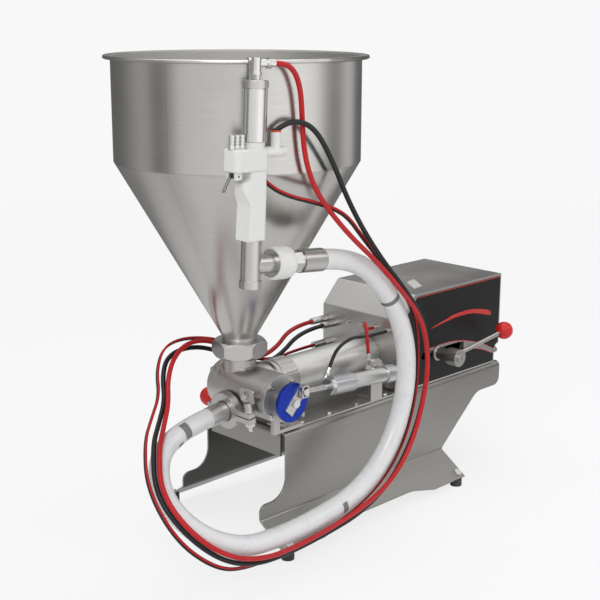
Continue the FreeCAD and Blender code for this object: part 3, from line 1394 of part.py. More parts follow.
def gun_nozzle():
    """Steel nozzle tube with its end ring and the side branch."""
    body = upright(GUN_NOZZLE_END + 10, GUN_GRIP_Z, GUN_NOZZLE_RADIUS)
    ring = upright(GUN_NOZZLE_END, GUN_NOZZLE_END + 11.5, GUN_NOZZLE_RADIUS + 1.5)
    start = V(0, 0, BRANCH_Z)
    way = branch_way_local()
    branch = rod(start, start + way * (FERRULE_AT + 2), GUN_NOZZLE_RADIUS - 0.5)
    lip = rod(start + way * (FERRULE_AT - 3), start + way * (FERRULE_AT + 2), FERRULE_LIP)
    shape = join([body, ring, branch, lip])
    shape = shape.cut(upright(GUN_NOZZLE_END + 9.5, GUN_GRIP_Z - 12, GUN_NOZZLE_RADIUS - 3))
    shape = shape.cut(upright(GUN_NOZZLE_END - 1, GUN_NOZZLE_END + 12, GUN_ORIFICE))
    shape = shape.cut(upright(GUN_GRIP_Z - 20, GUN_GRIP_Z + 1, GUN_STEM + SLIP))
    return gun_place(shape.cut(rod(start, start + way * 80, HOSE_BORE)))


def branch_way_local():
    """Direction of the branch in the gun's own upright frame."""
    start = gun_point(0, 0, BRANCH_Z)
    way = gun_frame.inverse().Rotation.multVec(HOSE_ROUTE[0] - start)
    way.normalize()
    return way


def along_branch(distance):
    start = gun_point(0, 0, BRANCH_Z)
    way = HOSE_ROUTE[0] - start
    return start + way * (distance / way.Length)


def branch_collar():
    """White union collar, open toward the gun, rounded at the hose side."""
    start = along_branch(COLLAR_START)
    length = COLLAR_END - COLLAR_START
    r = BRANCH_COLLAR
    way = along_branch(1) - along_branch(0)
    way.normalize()
    points = [(0, 0), (r - 1.5, 0), (r, 1.5), (r, length - 14), (r - 1.5, length - 7), (r - 6, length - 2),
              (r - 10, length), (0, length)]
    shape = revolved(points)
    shape = shape.cut(upright(-1, FERRULE_AT + 5 - COLLAR_START + SLIP, FERRULE_LIP + SLIP))
    shape = shape.cut(upright(-1, length + 1, HOSE_BORE + 3))
    return aim(shape, start, way)


def hose_sleeve():
    """Steel nut and crimped sleeve on the hose end."""
    way = along_branch(1) - along_branch(0)
    way.normalize()
    reach = (HOSE_ROUTE[0] - along_branch(0)).Length
    flare = rod(V(0, 0, FERRULE_AT + 2), V(0, 0, FERRULE_AT + 5), FERRULE_LIP)
    tube = rod(V(0, 0, FERRULE_AT + 2), V(0, 0, COLLAR_END + 4), HOSE_BORE + 3 - SEAT)
    nut = hexagon(V(0, 0, COLLAR_END), SLEEVE_NUT, SLEEVE_NUT_LENGTH)
    ring_end = COLLAR_END + SLEEVE_NUT_LENGTH + SLEEVE_RING
    ring = rod(V(0, 0, COLLAR_END + SLEEVE_NUT_LENGTH - 1), V(0, 0, ring_end), HOSE_BORE + 3)
    sleeve = rod(V(0, 0, ring_end - 1), V(0, 0, reach + 1), SLEEVE_RADIUS)
    shape = join([flare, tube, nut, ring, sleeve])
    shape = shape.cut(rod(V(0, 0, 0), V(0, 0, reach + 2), HOSE_BORE))
    return squared(aim(shape, along_branch(0), way), HOSE_ROUTE[0], HOSE_ROUTE[1] - HOSE_ROUTE[0])


def gun_elbow():
    """Angle fitting on the cap with the arm that takes the red line."""
    tip = RED_ROUTE[0]
    local_tip = gun_frame.inverse().multVec(tip) + Z * gun_middle
    corner = V(0, 0, local_tip.z)
    way = local_tip - corner
    reach = way.Length
    way.normalize()
    block = upright(GUN_TOP, corner.z + 8, ELBOW_RADIUS)
    ring = upright(GUN_TOP + 7, GUN_TOP + 11, ELBOW_RADIUS + 1.2)
    half = ELBOW_RADIUS - 0.5
    square = box(-half, half, -half, half, GUN_TOP, GUN_TOP + 8)
    arm = rod(corner, local_tip, AIR_LINE_RADIUS + 1.5)
    nut = aim(hexagon(V(0, 0, 0), 14, 6), corner + way * (reach * 0.55), way)
    shape = join([block, ring, square, arm, nut])
    shape = shape.cut(upright(GUN_TOP - 1, corner.z, 3))
    return gun_place(pierced(shape, local_tip, way, AIR_LINE_RADIUS, 8))


def black_way():
    """The direction in which the black line leaves the gun."""
    way = BLACK_ROUTE[1] - BLACK_ROUTE[0]
    way.normalize()
    return way


def black_socket():
    """The slanting hole that takes the black line's end."""
    tip = BLACK_ROUTE[0]
    return rod(tip, tip + black_way() * 30, AIR_LINE_RADIUS + SEAT)


def riser_top():
    """The middle of the riser's top face, in the gun's own upright frame."""
    tip = BLACK_ROUTE[0] + black_way() * RISER_SINK
    return gun_frame.inverse().multVec(tip) + Z * gun_middle


def gun_side_elbow():
    """White angle fitting at the head's rear whose riser takes the black line."""
    top = riser_top()
    z = GUN_HEAD_Z + GUN_HEAD_HEIGHT * 0.78
    corner = V(top.x, top.y, z)
    start = V(GUN_HEAD_REAR - 4, 0, z)
    way = corner - start
    reach = way.Length
    way.normalize()
    arm = rod(start, start + way * (reach + 9), 7.8)
    end = aim(hexagon(V(0, 0, 0), 13, 8), start + way * (reach + 8), way)
    riser = rod(corner, top - Z * COLLAR_THICK, 7.5)
    return gun_place(join([arm, end, riser])).cut(black_socket()).cut(gun_head())


def gun_side_collar():
    """Flat orange ring on the riser, open where the black line comes out."""
    top = riser_top()
    return gun_place(rod(top - Z * COLLAR_THICK, top, 7.2)).cut(black_socket())


def silencer_places():
    return [-GUN_HEAD_FRONT + 4 + SILENCER_STEP * k for k in range(3)]


def gun_silencers():
    """Three small air silencers in a row on the head."""
    top = GUN_HEAD_Z + GUN_HEAD_HEIGHT
    parts = []
    for x in silencer_places():
        stem = rod(V(x, 0, top - 7), V(x, 0, top + 1), 3 - SEAT)
        hexed = hexagon(V(x, 0, top), SILENCER_STEP - SLIP, 5)
        body = rod(V(x, 0, top + 4), V(x, 0, top + SILENCER_HEIGHT), SILENCER)
        for z in (top + 6, top + 10, top + 15):
            body = body.cut(pipe(V(x, 0, z), V(x, 0, z + 1.5), SILENCER + 1, SILENCER - 1))
        parts.append(gun_place(join([stem, hexed, body])))
    return parts


def gun_line_nipple():
    """Small nipple at the grip's rear for the trigger lines."""
    tip = TRIGGER_ROUTE[0]
    way = TRIGGER_ROUTE[1] - tip
    way.normalize()
    shape = rod(tip - way * 14, tip, TRIGGER_LINES_RADIUS + 1).cut(gun_head())
    return pierced(shape, tip, way, TRIGGER_LINES_RADIUS, 4)


def gun_hook():
    """Bent strip that hangs the gun on the hopper's rim."""
    base = gun_point(0, 0, GUN_TOP - 5)
    out = V(base.x - HOPPER_X, base.y, 0)
    distance = out.Length
    out.normalize()
    across = Z.cross(out)
    centre = V(HOPPER_X, 0, 0)
    outer = distance - GUN_BARREL - 1
    inner = HOPPER_RADIUS - HOPPER_WALL - HOOK_THICK / 2 - 0.5
    rest = HOPPER_TOP + HOOK_THICK / 2
    line = [centre + out * outer + Z * (GUN_TOP - 11), centre + out * outer + Z * rest,
            centre + out * inner + Z * rest, centre + out * inner + Z * (HOPPER_TOP - HOOK_DROP)]
    strip = fold([p - across * (HOOK_WIDTH / 2) for p in line], 2.2, HOOK_THICK, across * HOOK_WIDTH)
    ring = gun_place(upright(GUN_TOP - 11, GUN_TOP - 1, GUN_BARREL + 1))
    shape = join([strip, ring])
    return shape.cut(gun_place(upright(GUN_TOP - 30, GUN_TOP + 30, GUN_BARREL - 2.5 + SEAT)))


# Hoses and lines

def routed_tube(name, route, radius):
    """Straight runs joined by tangent arcs, a circle swept along them."""
    radii = []
    for k in range(1, len(route) - 1):
        before = route[k] - route[k - 1]
        after = route[k + 1] - route[k]
        half_turn = before.getAngle(after) / 2
        radii.append(0.45 * min(before.Length, after.Length) / math.tan(half_turn))
    path = Part.Wire(rounded_edges(route, radii))
    start = route[1] - route[0]
    start.normalize()
    ring = Part.Wire(Part.makeCircle(radius, route[0], start))
    tube = path.makePipeShell([ring], True, True, 0)
    section = math.pi * radius * radius
    share = tube.Volume / (section * path.Length)
    print(name, "length", round(path.Length), "volume share", round(share, 4))
    print(name, "least radius", round(min(radii)))
    return tube


ROUTES = [
    ("food_hose", HOSE_ROUTE, HOSE_RADIUS),
    ("hose_line_red", RED_ROUTE, AIR_LINE_RADIUS),
    ("hose_line_black", BLACK_ROUTE, AIR_LINE_RADIUS),
    ("trigger_lines", TRIGGER_ROUTE, TRIGGER_LINES_RADIUS),
    ("actuator_line_red", REAR_LINE_ROUTE, SMALL_LINE_RADIUS),
    ("actuator_line_black", FRONT_LINE_ROUTE, SMALL_LINE_RADIUS),
]

NODES = {
    "base_frame": base_frame(),
    "rubber_feet": rubber_feet(),
    "hex_bolts": Part.makeCompound(foot_bolts() + deck_bolts()),
    "socket_bolts": Part.makeCompound(bracket_bolts() + cap_bolts() + cabinet_screws()),
    "deck_plate": deck_plate(),
    "cabinet_shell": cabinet_shell(),
    "label_panel": label_panel(),
    "line_fittings": Part.makeCompound(bulkhead_fittings() + line_glands()),
    "air_inlet": air_inlet(),
    "hopper": hopper(),
    "gaskets": Part.makeCompound([hopper_gasket(), spout_gasket()]),
    "union_nut": union_nut(),
    "valve_body": valve_body(),
    "valve_rotor": valve_rotor(),
    "valve_bracket": valve_bracket(),
    "valve_cap": valve_cap(),
    "far_stud": far_stud(),
    "far_lever": far_lever_hub(),
    "far_ball": far_ball(),
    "spout_tail": ferrule_tail(),
    "clamp_upper": clamp_jaw(1),
    "clamp_lower": clamp_jaw(-1),
    "clamp_bolt": clamp_bolt(),
    "wing_nut": wing_nut(),
    "product_tube": product_tube(),
    "cylinder_rings": Part.makeCompound([cylinder_ring(), cylinder_collar()]),
    "product_piston": product_piston(),
    "drive_tube": drive_tube(),
    "drive_caps": Part.makeCompound([middle_cap(), rear_cap()]),
    "crank_disc": crank_disc(),
    "crank_hub": crank_hub(),
    "crank_plate": crank_plate(),
    "crank_fasteners": Part.makeCompound([crank_bolt(), crank_pin()]),
    "actuator_barrel": actuator_barrel(),
    "actuator_caps": Part.makeCompound([actuator_front_cap(), actuator_rear_cap()]),
    "actuator_rod": actuator_rod(),
    "actuator_elbows": actuator_elbows(),
    "actuator_bracket": Part.makeCompound([actuator_bracket(), pivot_clip()]),
    "volume_rail": volume_rail(),
    "volume_carriage": volume_carriage(),
    "volume_stack": Part.makeCompound([volume_washer(), volume_screw()]),
    "volume_lever": volume_lever(),
    "near_ball": near_ball(),
    "gun_barrel": gun_barrel(),
    "gun_plunger": gun_plunger(),
    "gun_body": gun_head(),
    "gun_trigger": gun_trigger(),
    "gun_nozzle": gun_nozzle(),
    "branch_collar": branch_collar(),
    "hose_sleeve": hose_sleeve(),
    "gun_steel_fittings": Part.makeCompound([gun_elbow(), gun_line_nipple()] + gun_silencers()),
    "gun_side_elbow": gun_side_elbow(),
    "gun_side_collar": gun_side_collar(),
    "gun_hook": gun_hook(),
}

for name, route, radius in ROUTES:
    NODES[name] = routed_tube(name, route, radius)

os.makedirs("parts", exist_ok=True)
for name, shape in NODES.items():
    print(name, "solids", len(shape.Solids), "valid", shape.isValid(), "volume", round(shape.Volume))
    shape.exportStep("parts/%s.step" % name)
print(len(NODES), "nodes")
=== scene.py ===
"""Looks of the table-top food depositor: hopper, valve, cylinder, cabinet and hand gun.

Metres, +Z up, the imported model's own frame. Values named *_MM are millimetres.
"""

import math

import bmesh
import bpy
from mathutils import Matrix, Vector


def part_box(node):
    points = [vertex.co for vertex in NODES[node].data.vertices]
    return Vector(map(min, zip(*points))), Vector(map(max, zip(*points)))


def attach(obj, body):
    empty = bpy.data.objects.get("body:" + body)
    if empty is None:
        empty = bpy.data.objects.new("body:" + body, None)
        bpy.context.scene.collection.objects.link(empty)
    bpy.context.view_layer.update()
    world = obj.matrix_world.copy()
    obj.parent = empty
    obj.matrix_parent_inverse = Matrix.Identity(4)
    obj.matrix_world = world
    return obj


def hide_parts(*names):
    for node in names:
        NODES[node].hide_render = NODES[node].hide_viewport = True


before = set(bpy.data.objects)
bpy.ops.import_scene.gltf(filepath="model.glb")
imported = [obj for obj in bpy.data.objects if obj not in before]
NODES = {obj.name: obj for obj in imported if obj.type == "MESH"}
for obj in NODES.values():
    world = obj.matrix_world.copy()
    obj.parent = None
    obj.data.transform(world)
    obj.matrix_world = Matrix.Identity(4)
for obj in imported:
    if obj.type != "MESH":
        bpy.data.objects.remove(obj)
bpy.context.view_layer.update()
UP = Vector((0, 0, 1))

# Camera, as the photograph was taken
CAMERA_PLACE = Vector((-1.4888, -1.4466, 0.8874))
CAMERA_YAW = 44.703
CAMERA_PITCH = -13.926
CAMERA_ROLL = 0.141
CAMERA_LENS_MM = 71.44
SENSOR_WIDTH_MM = 36
CAMERA_REACH = 100

# Places taken from the solids
hopper_low, hopper_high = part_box("hopper")
panel_low, panel_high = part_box("label_panel")
cabinet_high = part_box("cabinet_shell")[1]
HOPPER_AXIS_X = (hopper_low.x + hopper_high.x) / 2

# The height of the hopper's shoulder, and the wall seam's place as a share of a full turn from -X
HOPPER_SHOULDER = 0.644
SEAM_TURN = 0.0475
SEAM_HALF = 0.0007

# Colours, linear
SHEET_STEEL = (0.50, 0.488, 0.468)
FRAME_STEEL = (0.30, 0.292, 0.276)
CAST_STEEL = (0.48, 0.47, 0.455)
BRIGHT_STEEL = (0.62, 0.615, 0.605)
ALUMINIUM = (0.54, 0.545, 0.555)
DARK_STEEL = (0.16, 0.155, 0.15)
BLUE = (0.020, 0.045, 0.36)
WHITE = (0.80, 0.80, 0.785)
HOSE_WHITE = (0.78, 0.785, 0.795)
LINE_RED = (0.50, 0.006, 0.010)
BALL_RED = (0.60, 0.013, 0.009)
FILM_RED = (0.58, 0.026, 0.018)
COLLAR_ORANGE = (0.72, 0.09, 0.03)
BLACK = (0.006, 0.006, 0.007)
DARK_GREY = (0.045, 0.046, 0.050)
BAND_GREY = (0.17, 0.175, 0.175)
FILM_GREY = (0.24, 0.235, 0.225)
PAPER = (0.56, 0.55, 0.53)
FLOOR = (0.90, 0.90, 0.90)

# How even a surface's noise is: where its spread begins and ends
NOISE_LOW = 0.3
NOISE_HIGH = 0.7
BUMP_DISTANCE = 0.0006
INSIDE_ROUGHNESS = 0.62

# Faces of the hopper and the folded base that count as turned inward or down; the hopper's are left
# duller, the base's get painted shade
HOPPER_INWARD = -0.002
FRAME_INWARD = -0.35
FRAME_DOWNWARD = -0.8

# Routes of the hoses and lines, the same points as in the solids, in millimetres
HOSE_ROUTE_MM = (
    (-198, -187, 505), (-122, -187, 498), (-46, -189, 436), (8, -190, 345), (13, -190, 240),
    (-32, -190, 146), (-112, -190, 90), (-216, -190, 74), (-292, -190, 71), (-366, -188, 76),
    (-425, -159, 104), (-449, -105, 148), (-422, -50, 191), (-360, -20, 217), (-289, -20, 226),
)
RED_ROUTE_MM = (
    (-306, -199, 807), (-288, -205, 806), (-273, -208, 793), (-263, -208, 768), (-259, -207, 738),
    (-256, -206, 700), (-251, -208, 662), (-237, -211, 624), (-208, -214, 586), (-158, -215, 538),
    (-100, -216, 492), (-34, -215, 432), (22, -214, 372), (40, -214, 305), (34, -214, 238),
    (8, -214, 166), (-36, -214, 112), (-100, -213, 80), (-185, -212, 64), (-275, -212, 56),
    (-342, -211, 58), (-408, -205, 80), (-450, -168, 120), (-464, -116, 172), (-424, -60, 214),
    (-380, -18, 234), (-352, 4, 260), (-342, 18, 294), (-314, 36, 324), (-272, 50, 338),
    (-214, 64, 328), (-154, 72, 296), (-97, 76, 266), (-42, 80, 272), (4, 86, 305), (58, 86, 305),
)
BLACK_ROUTE_MM = (
    (-302, -191, 708), (-291, -200, 719), (-275, -209, 724), (-260, -218, 720), (-242, -220, 707),
    (-221, -218, 684), (-192, -213, 646), (-160, -207, 598), (-120, -206, 542), (-72, -206, 486),
    (-12, -205, 427), (34, -205, 372), (52, -205, 308), (45, -205, 238), (16, -205, 162),
    (-38, -205, 98), (-112, -204, 62), (-200, -203, 50), (-280, -203, 45), (-350, -202, 48),
    (-412, -196, 72), (-452, -158, 114), (-468, -106, 169), (-424, -45, 220), (-378, -4, 237),
    (-350, 16, 262), (-342, 31, 297), (-318, 50, 320), (-274, 62, 326), (-214, 70, 314),
    (-154, 64, 282), (-97, 64, 256), (-42, 66, 264), (10, 67, 299), (68, 67, 299),
)
TRIGGER_ROUTE_MM = (
    (-318, -189, 640), (-308, -190, 632), (-294, -194, 622), (-272, -199, 612), (-238, -203, 602),
    (-192, -204, 588), (-152, -201, 568), (-118, -198, 534), (-62, -193, 482), (4, -192, 416),
    (38, -192, 352), (40, -192, 238), (4, -192, 142), (-66, -190, 78), (-170, -188, 46),
    (-270, -188, 38), (-364, -188, 40), (-420, -186, 60), (-466, -152, 108), (-474, -94, 176),
    (-430, -32, 224), (-384, 8, 242), (-352, 28, 268), (-344, 44, 304), (-316, 62, 334),
    (-268, 76, 338), (-206, 86, 326), (-150, 88, 306), (-90, 92, 262), (-40, 84, 252), (10, 81, 260),
    (58, 81, 260),
)
FRONT_LINE_ROUTE_MM = (
    (-93, -108, 290), (-85, -108, 308), (-64, -105, 323), (-24, -96, 327), (16, -80, 317),
    (54, -70, 310), (92, -70, 310),
)
REAR_LINE_ROUTE_MM = (
    (19, -95, 290), (16, -95, 311), (21, -88, 332), (42, -66, 339), (68, -40, 311), (92, -39, 311),
)


# Node materials

def add_node(tree, kind, inputs=None, **settings):
    """A shader node with its settings; an input takes a value or another node's socket."""
    node = tree.nodes.new(kind)
    for name, value in settings.items():
        setattr(node, name, value)
    for key, value in (inputs or {}).items():
        if isinstance(value, bpy.types.NodeSocket):
            tree.links.new(value, node.inputs[key])
        else:
            node.inputs[key].default_value = value
    return node


def scaled(color, factor):
    """A brighter or darker colour, with its alpha."""
    return tuple(min(1.0, c * factor) for c in color) + (1.0,)


def start_material(name):
    """An empty node material with its shader, and the place on the object as a socket."""
    material = bpy.data.materials.new(name)
    material.use_nodes = True
    tree = material.node_tree
    tree.nodes.clear()
    out = add_node(tree, "ShaderNodeOutputMaterial")
    shader = add_node(tree, "ShaderNodeBsdfPrincipled")
    tree.links.new(shader.outputs["BSDF"], out.inputs["Surface"])
    place = add_node(tree, "ShaderNodeTexCoord").outputs["Object"]
    return material, tree, shader, place


def grain_noise(tree, place, scale, detail):
    """Noise stretched by a scale per axis, from 0 to 1."""
    mapped = add_node(tree, "ShaderNodeMapping", {"Vector": place, "Scale": scale})
    inputs = {"Vector": mapped.outputs["Vector"], "Scale": 1.0, "Detail": detail}
    return add_node(tree, "ShaderNodeTexNoise", inputs).outputs["Fac"]


def spread(tree, value, low, high):
    """Map a noise value to a range."""
    inputs = {"Value": value, "From Min": NOISE_LOW, "From Max": NOISE_HIGH, "To Min": low, "To Max": high}
    return add_node(tree, "ShaderNodeMapRange", inputs).outputs["Result"]


def two_colours(tree, value, first, second):
    """One colour where a value is 0, the other where it is 1."""
    mix = add_node(tree, "ShaderNodeMix", data_type="RGBA")
    tree.links.new(value, mix.inputs["Factor"])
    mix.inputs["A"].default_value = first
    mix.inputs["B"].default_value = second
    return mix.outputs["Result"]


def times(tree, first, second):
    """Two colours multiplied."""
    mix = add_node(tree, "ShaderNodeMix", data_type="RGBA", blend_type="MULTIPLY")
    mix.inputs["Factor"].default_value = 1.0
    tree.links.new(first, mix.inputs["A"])
    tree.links.new(second, mix.inputs["B"])
    return mix.outputs["Result"]


def relief(tree, shader, height, strength, edge=0.0):
    """Bump from a height, over softened edges."""
    inputs = {"Height": height, "Strength": strength, "Distance": BUMP_DISTANCE}
    if edge:
        bevel = add_node(tree, "ShaderNodeBevel", {"Radius": edge}, samples=4)
        inputs["Normal"] = bevel.outputs["Normal"]
    bump = add_node(tree, "ShaderNodeBump", inputs)
    tree.links.new(bump.outputs["Normal"], shader.inputs["Normal"])


def metal(name, color, roughness, grain, depth, edge, tint, seams_and_painted_shade=None, seam_and_shade_tone=1.0, rougher=None):
    """Metal with a grain along the axis of the smallest scale, faint smudges and places darkened by a
    mask: weld seams on the hopper, painted shade on the folded base.
    """
    material, tree, shader, place = start_material(name)
    lines = grain_noise(tree, place, grain, 6.0)
    smudge = grain_noise(tree, place, (9, 9, 7), 3.0)
    streak = spread(tree, lines, 0.0, 1.0)
    tone = two_colours(tree, streak, scaled(color, 1 - tint), scaled(color, 1 + tint))
    cloud = two_colours(tree, spread(tree, smudge, 0.0, 1.0), (0.93, 0.93, 0.93, 1), (1, 1, 1, 1))
    result = times(tree, tone, cloud)
    if seams_and_painted_shade:
        # Darkens the colour where the mask is 1: the hopper's mask gives its weld seams, the base's mask
        # gives painted shade
        dark = two_colours(tree, seams_and_painted_shade(tree, place), (1, 1, 1, 1), (seam_and_shade_tone, seam_and_shade_tone, seam_and_shade_tone, 1))
        result = times(tree, result, dark)
    tree.links.new(result, shader.inputs["Base Color"])
    shader.inputs["Metallic"].default_value = 1.0
    dull = spread(tree, smudge, roughness * 0.9, roughness * 1.15)
    if rougher:
        dull = blend(tree, rougher(tree, place), dull, INSIDE_ROUGHNESS)
    tree.links.new(dull, shader.inputs["Roughness"])
    relief(tree, shader, lines, depth, edge)
    return material


def calculate(tree, operation, first, second=0.0):
    """The result of a calculation with one or two values."""
    return add_node(tree, "ShaderNodeMath", {0: first, 1: second}, operation=operation).outputs[0]


def ramp(tree, value, start, end):
    """0 up to the start, 1 from the end on, and even in between."""
    inputs = {"Value": value, "From Min": start, "From Max": end, "To Min": 0.0, "To Max": 1.0}
    return add_node(tree, "ShaderNodeMapRange", inputs).outputs["Result"]


def blend(tree, factor, first, second):
    """The first number where a factor is 0, the second where it is 1."""
    inputs = {"Factor": factor, "A": first, "B": second}
    return add_node(tree, "ShaderNodeMix", inputs, data_type="FLOAT").outputs["Result"]


def from_hopper_axis(tree, place):
    """The place, measured from the hopper's axis."""
    inputs = {"Vector": place, "Location": (-HOPPER_AXIS_X, 0, 0)}
    return add_node(tree, "ShaderNodeMapping", inputs).outputs["Vector"]


def part_of(tree, vector, axis):
    """One part of a vector: X, Y or Z."""
    return add_node(tree, "ShaderNodeSeparateXYZ", {"Vector": vector}).outputs[axis]


def near(tree, value, middle, reach):
    """1 where a value is within a reach of the middle, else 0."""
    inputs = {0: value, 1: middle, 2: reach}
    return add_node(tree, "ShaderNodeMath", inputs, operation="COMPARE").outputs[0]


def hopper_seams(tree, place):
    """The welded seams of the hopper: one up the wall, one round the shoulder."""
    inputs = {"Vector": from_hopper_axis(tree, place)}
    turn = add_node(tree, "ShaderNodeTexGradient", inputs, gradient_type="RADIAL").outputs["Fac"]
    upright = near(tree, turn, SEAM_TURN, SEAM_HALF)
    ring = near(tree, part_of(tree, place, "Z"), HOPPER_SHOULDER, SEAM_HALF)
    return calculate(tree, "MAXIMUM", upright, ring)


def hopper_inside(tree, place):
    """1 on the hopper's inner skin, which is left duller, 0 outside."""
    normal = add_node(tree, "ShaderNodeTexCoord").outputs["Normal"]
    inputs = {0: from_hopper_axis(tree, place), 1: (1, 1, 0)}
    flat = add_node(tree, "ShaderNodeVectorMath", inputs, operation="MULTIPLY").outputs[0]
    facing = add_node(tree, "ShaderNodeVectorMath", {0: normal, 1: flat}, operation="DOT_PRODUCT")
    return calculate(tree, "LESS_THAN", facing.outputs["Value"], HOPPER_INWARD)


def frame_painted_shade_mask(tree, place):
    """1 on the inner faces and undersides of the folded base, which its sheet shades, 0 outside; the
    colour there is darkened as painted shade.
    """
    normal = add_node(tree, "ShaderNodeTexCoord").outputs["Normal"]
    half = calculate(tree, "SIGN", part_of(tree, place, "Y"))
    inward = calculate(tree, "MULTIPLY", part_of(tree, normal, "Y"), half)
    turned_in = calculate(tree, "LESS_THAN", inward, FRAME_INWARD)
    below = calculate(tree, "LESS_THAN", part_of(tree, normal, "Z"), FRAME_DOWNWARD)
    return calculate(tree, "MAXIMUM", turned_in, below)


def plastic(name, color, roughness, pebble=900.0, depth=0.06, edge=0.0008, tint=0.06, coat=0.0, shine=0.5):
    """Moulded plastic: a fine skin, slight change of tone and softened edges."""
    material, tree, shader, place = start_material(name)
    skin = grain_noise(tree, place, (pebble, pebble, pebble), 2.0)
    patch = grain_noise(tree, place, (14, 14, 14), 3.0)
    change = spread(tree, patch, 0.0, 1.0)
    tone = two_colours(tree, change, scaled(color, 1 - tint), scaled(color, 1 + tint))
    tree.links.new(tone, shader.inputs["Base Color"])
    tree.links.new(spread(tree, patch, roughness * 0.85, roughness * 1.2), shader.inputs["Roughness"])
    shader.inputs["Coat Weight"].default_value = coat
    shader.inputs["Specular IOR Level"].default_value = shine
    relief(tree, shader, skin, depth, edge)
    return material


def hose_plastic(name):
    """Milky hose: light passes a little way in, with faint cloudy streaks."""
    material, tree, shader, place = start_material(name)
    cloud = grain_noise(tree, place, (26, 26, 26), 3.0)
    streak = spread(tree, cloud, 0.0, 1.0)
    tone = two_colours(tree, streak, scaled(HOSE_WHITE, 0.985), scaled(HOSE_WHITE, 1.015))
    tree.links.new(tone, shader.inputs["Base Color"])
    shader.inputs["Subsurface Weight"].default_value = 0.35
    shader.inputs["Subsurface Radius"].default_value = (0.006, 0.007, 0.008)
    shader.inputs["Subsurface Scale"].default_value = 1.0
    shader.inputs["Coat Weight"].default_value = 0.20
    shader.inputs["Coat Roughness"].default_value = 0.22
    tree.links.new(spread(tree, cloud, 0.24, 0.36), shader.inputs["Roughness"])
    relief(tree, shader, cloud, 0.05)
    return material


# Scales of the grain for each axis
GRAIN_X = (5, 420, 420)
GRAIN_Z = (420, 420, 5)
GRAIN_ROUND = (14, 14, 620)
GRAIN_ALL = (260, 260, 260)
GRAIN_TURNED = (620, 14, 620)
GRAIN_TUBE = (620, 14, 14)

MATERIALS = {
    "hopper_steel": metal("hopper_steel", SHEET_STEEL, 0.24, GRAIN_ROUND, 0.012, 0.0060, 0.025,
                          hopper_seams, 0.88, hopper_inside),
    # The folded base's inner faces and undersides are darkened to a quarter of their colour: painted shade
    "frame_steel": metal("frame_steel", FRAME_STEEL, 0.34, GRAIN_X, 0.02, 0.0015, 0.03,
                         frame_painted_shade_mask, 0.25),
    "sheet_steel": metal("sheet_steel", SHEET_STEEL, 0.33, GRAIN_X, 0.02, 0.0008, 0.03),
    "cast_steel": metal("cast_steel", CAST_STEEL, 0.33, GRAIN_ALL, 0.05, 0.0015, 0.05),
    "dull_steel": metal("dull_steel", CAST_STEEL, 0.52, GRAIN_ALL, 0.05, 0.0015, 0.05),
    "turned_steel": metal("turned_steel", CAST_STEEL, 0.27, GRAIN_TURNED, 0.03, 0.0006, 0.05),
    "tube_steel": metal("tube_steel", BRIGHT_STEEL, 0.36, GRAIN_TUBE, 0.02, 0.0006, 0.03),
    "bright_steel": metal("bright_steel", BRIGHT_STEEL, 0.15, GRAIN_Z, 0.01, 0.0006, 0.03),
    "bolt_steel": metal("bolt_steel", BRIGHT_STEEL, 0.26, GRAIN_ALL, 0.05, 0.0004, 0.05),
    "dark_steel": metal("dark_steel", DARK_STEEL, 0.32, GRAIN_ALL, 0.05, 0.0004, 0.08),
    "aluminium": metal("aluminium", ALUMINIUM, 0.32, GRAIN_X, 0.03, 0.0008, 0.04),
    "blue_anodised": metal("blue_anodised", BLUE, 0.36, GRAIN_ALL, 0.04, 0.0008, 0.06),
    "white_plastic": plastic("white_plastic", WHITE, 0.46, 700, 0.06, 0.0020, 0.02),
    "red_ball": plastic("red_ball", BALL_RED, 0.34, 300, 0.02, 0.0, 0.05, 0.0, 0.4),
    "orange_plastic": plastic("orange_plastic", COLLAR_ORANGE, 0.40),
    "rubber": plastic("rubber", DARK_GREY, 0.75, 500, 0.20),
    "red_line": plastic("red_line", LINE_RED, 0.40, 300, 0.02, 0.0, 0.06, 0.0, 0.35),
    "black_line": plastic("black_line", BLACK, 0.40, 300, 0.02, 0.0, 0.06, 0.0, 0.35),
    "hose": hose_plastic("hose"),
    "mark": plastic("mark", BAND_GREY, 0.5, 600, 0.05, 0.0, 0.10),
    "label": plastic("label", BLACK, 0.40, 1200, 0.03, 0.0005, 0.05, 0.0, 0.25),
    "film_red": plastic("film_red", FILM_RED, 0.40, 1200, 0.03, 0.0, 0.05),
    "film_grey": plastic("film_grey", FILM_GREY, 0.36, 1200, 0.03, 0.0, 0.08),
    "paper": plastic("paper", PAPER, 0.55, 1500, 0.04, 0.0, 0.04),
}

# Which material each node of the solids wears
WEARS = {
    "hopper_steel": ("hopper",),
    "frame_steel": ("base_frame",),
    "sheet_steel": ("deck_plate", "cabinet_shell", "crank_plate", "actuator_bracket", "gun_hook"),
    "dull_steel": ("valve_bracket", "valve_rotor"),
    "cast_steel": ("union_nut", "valve_body", "valve_cap", "clamp_upper", "clamp_lower",
                   "wing_nut", "spout_tail", "far_lever", "cylinder_rings"),
    "turned_steel": ("air_inlet", "volume_rail", "volume_stack", "volume_lever", "gun_plunger",
                     "hose_sleeve", "crank_hub", "actuator_rod", "gun_nozzle"),
    "tube_steel": ("product_tube", "actuator_barrel"),
    "bright_steel": ("gun_barrel", "gun_steel_fittings"),
    "bolt_steel": ("hex_bolts", "socket_bolts", "far_stud", "clamp_bolt", "crank_fasteners",
                   "line_fittings", "actuator_elbows"),
    "dark_steel": ("gun_trigger",),
    "aluminium": ("drive_tube", "drive_caps", "actuator_caps", "volume_carriage"),
    "blue_anodised": ("crank_disc",),
    "white_plastic": ("product_piston", "gun_body", "branch_collar", "gun_side_elbow"),
    "red_ball": ("far_ball", "near_ball"),
    "orange_plastic": ("gun_side_collar",),
    "rubber": ("rubber_feet", "gaskets"),
    "label": ("label_panel",),
}


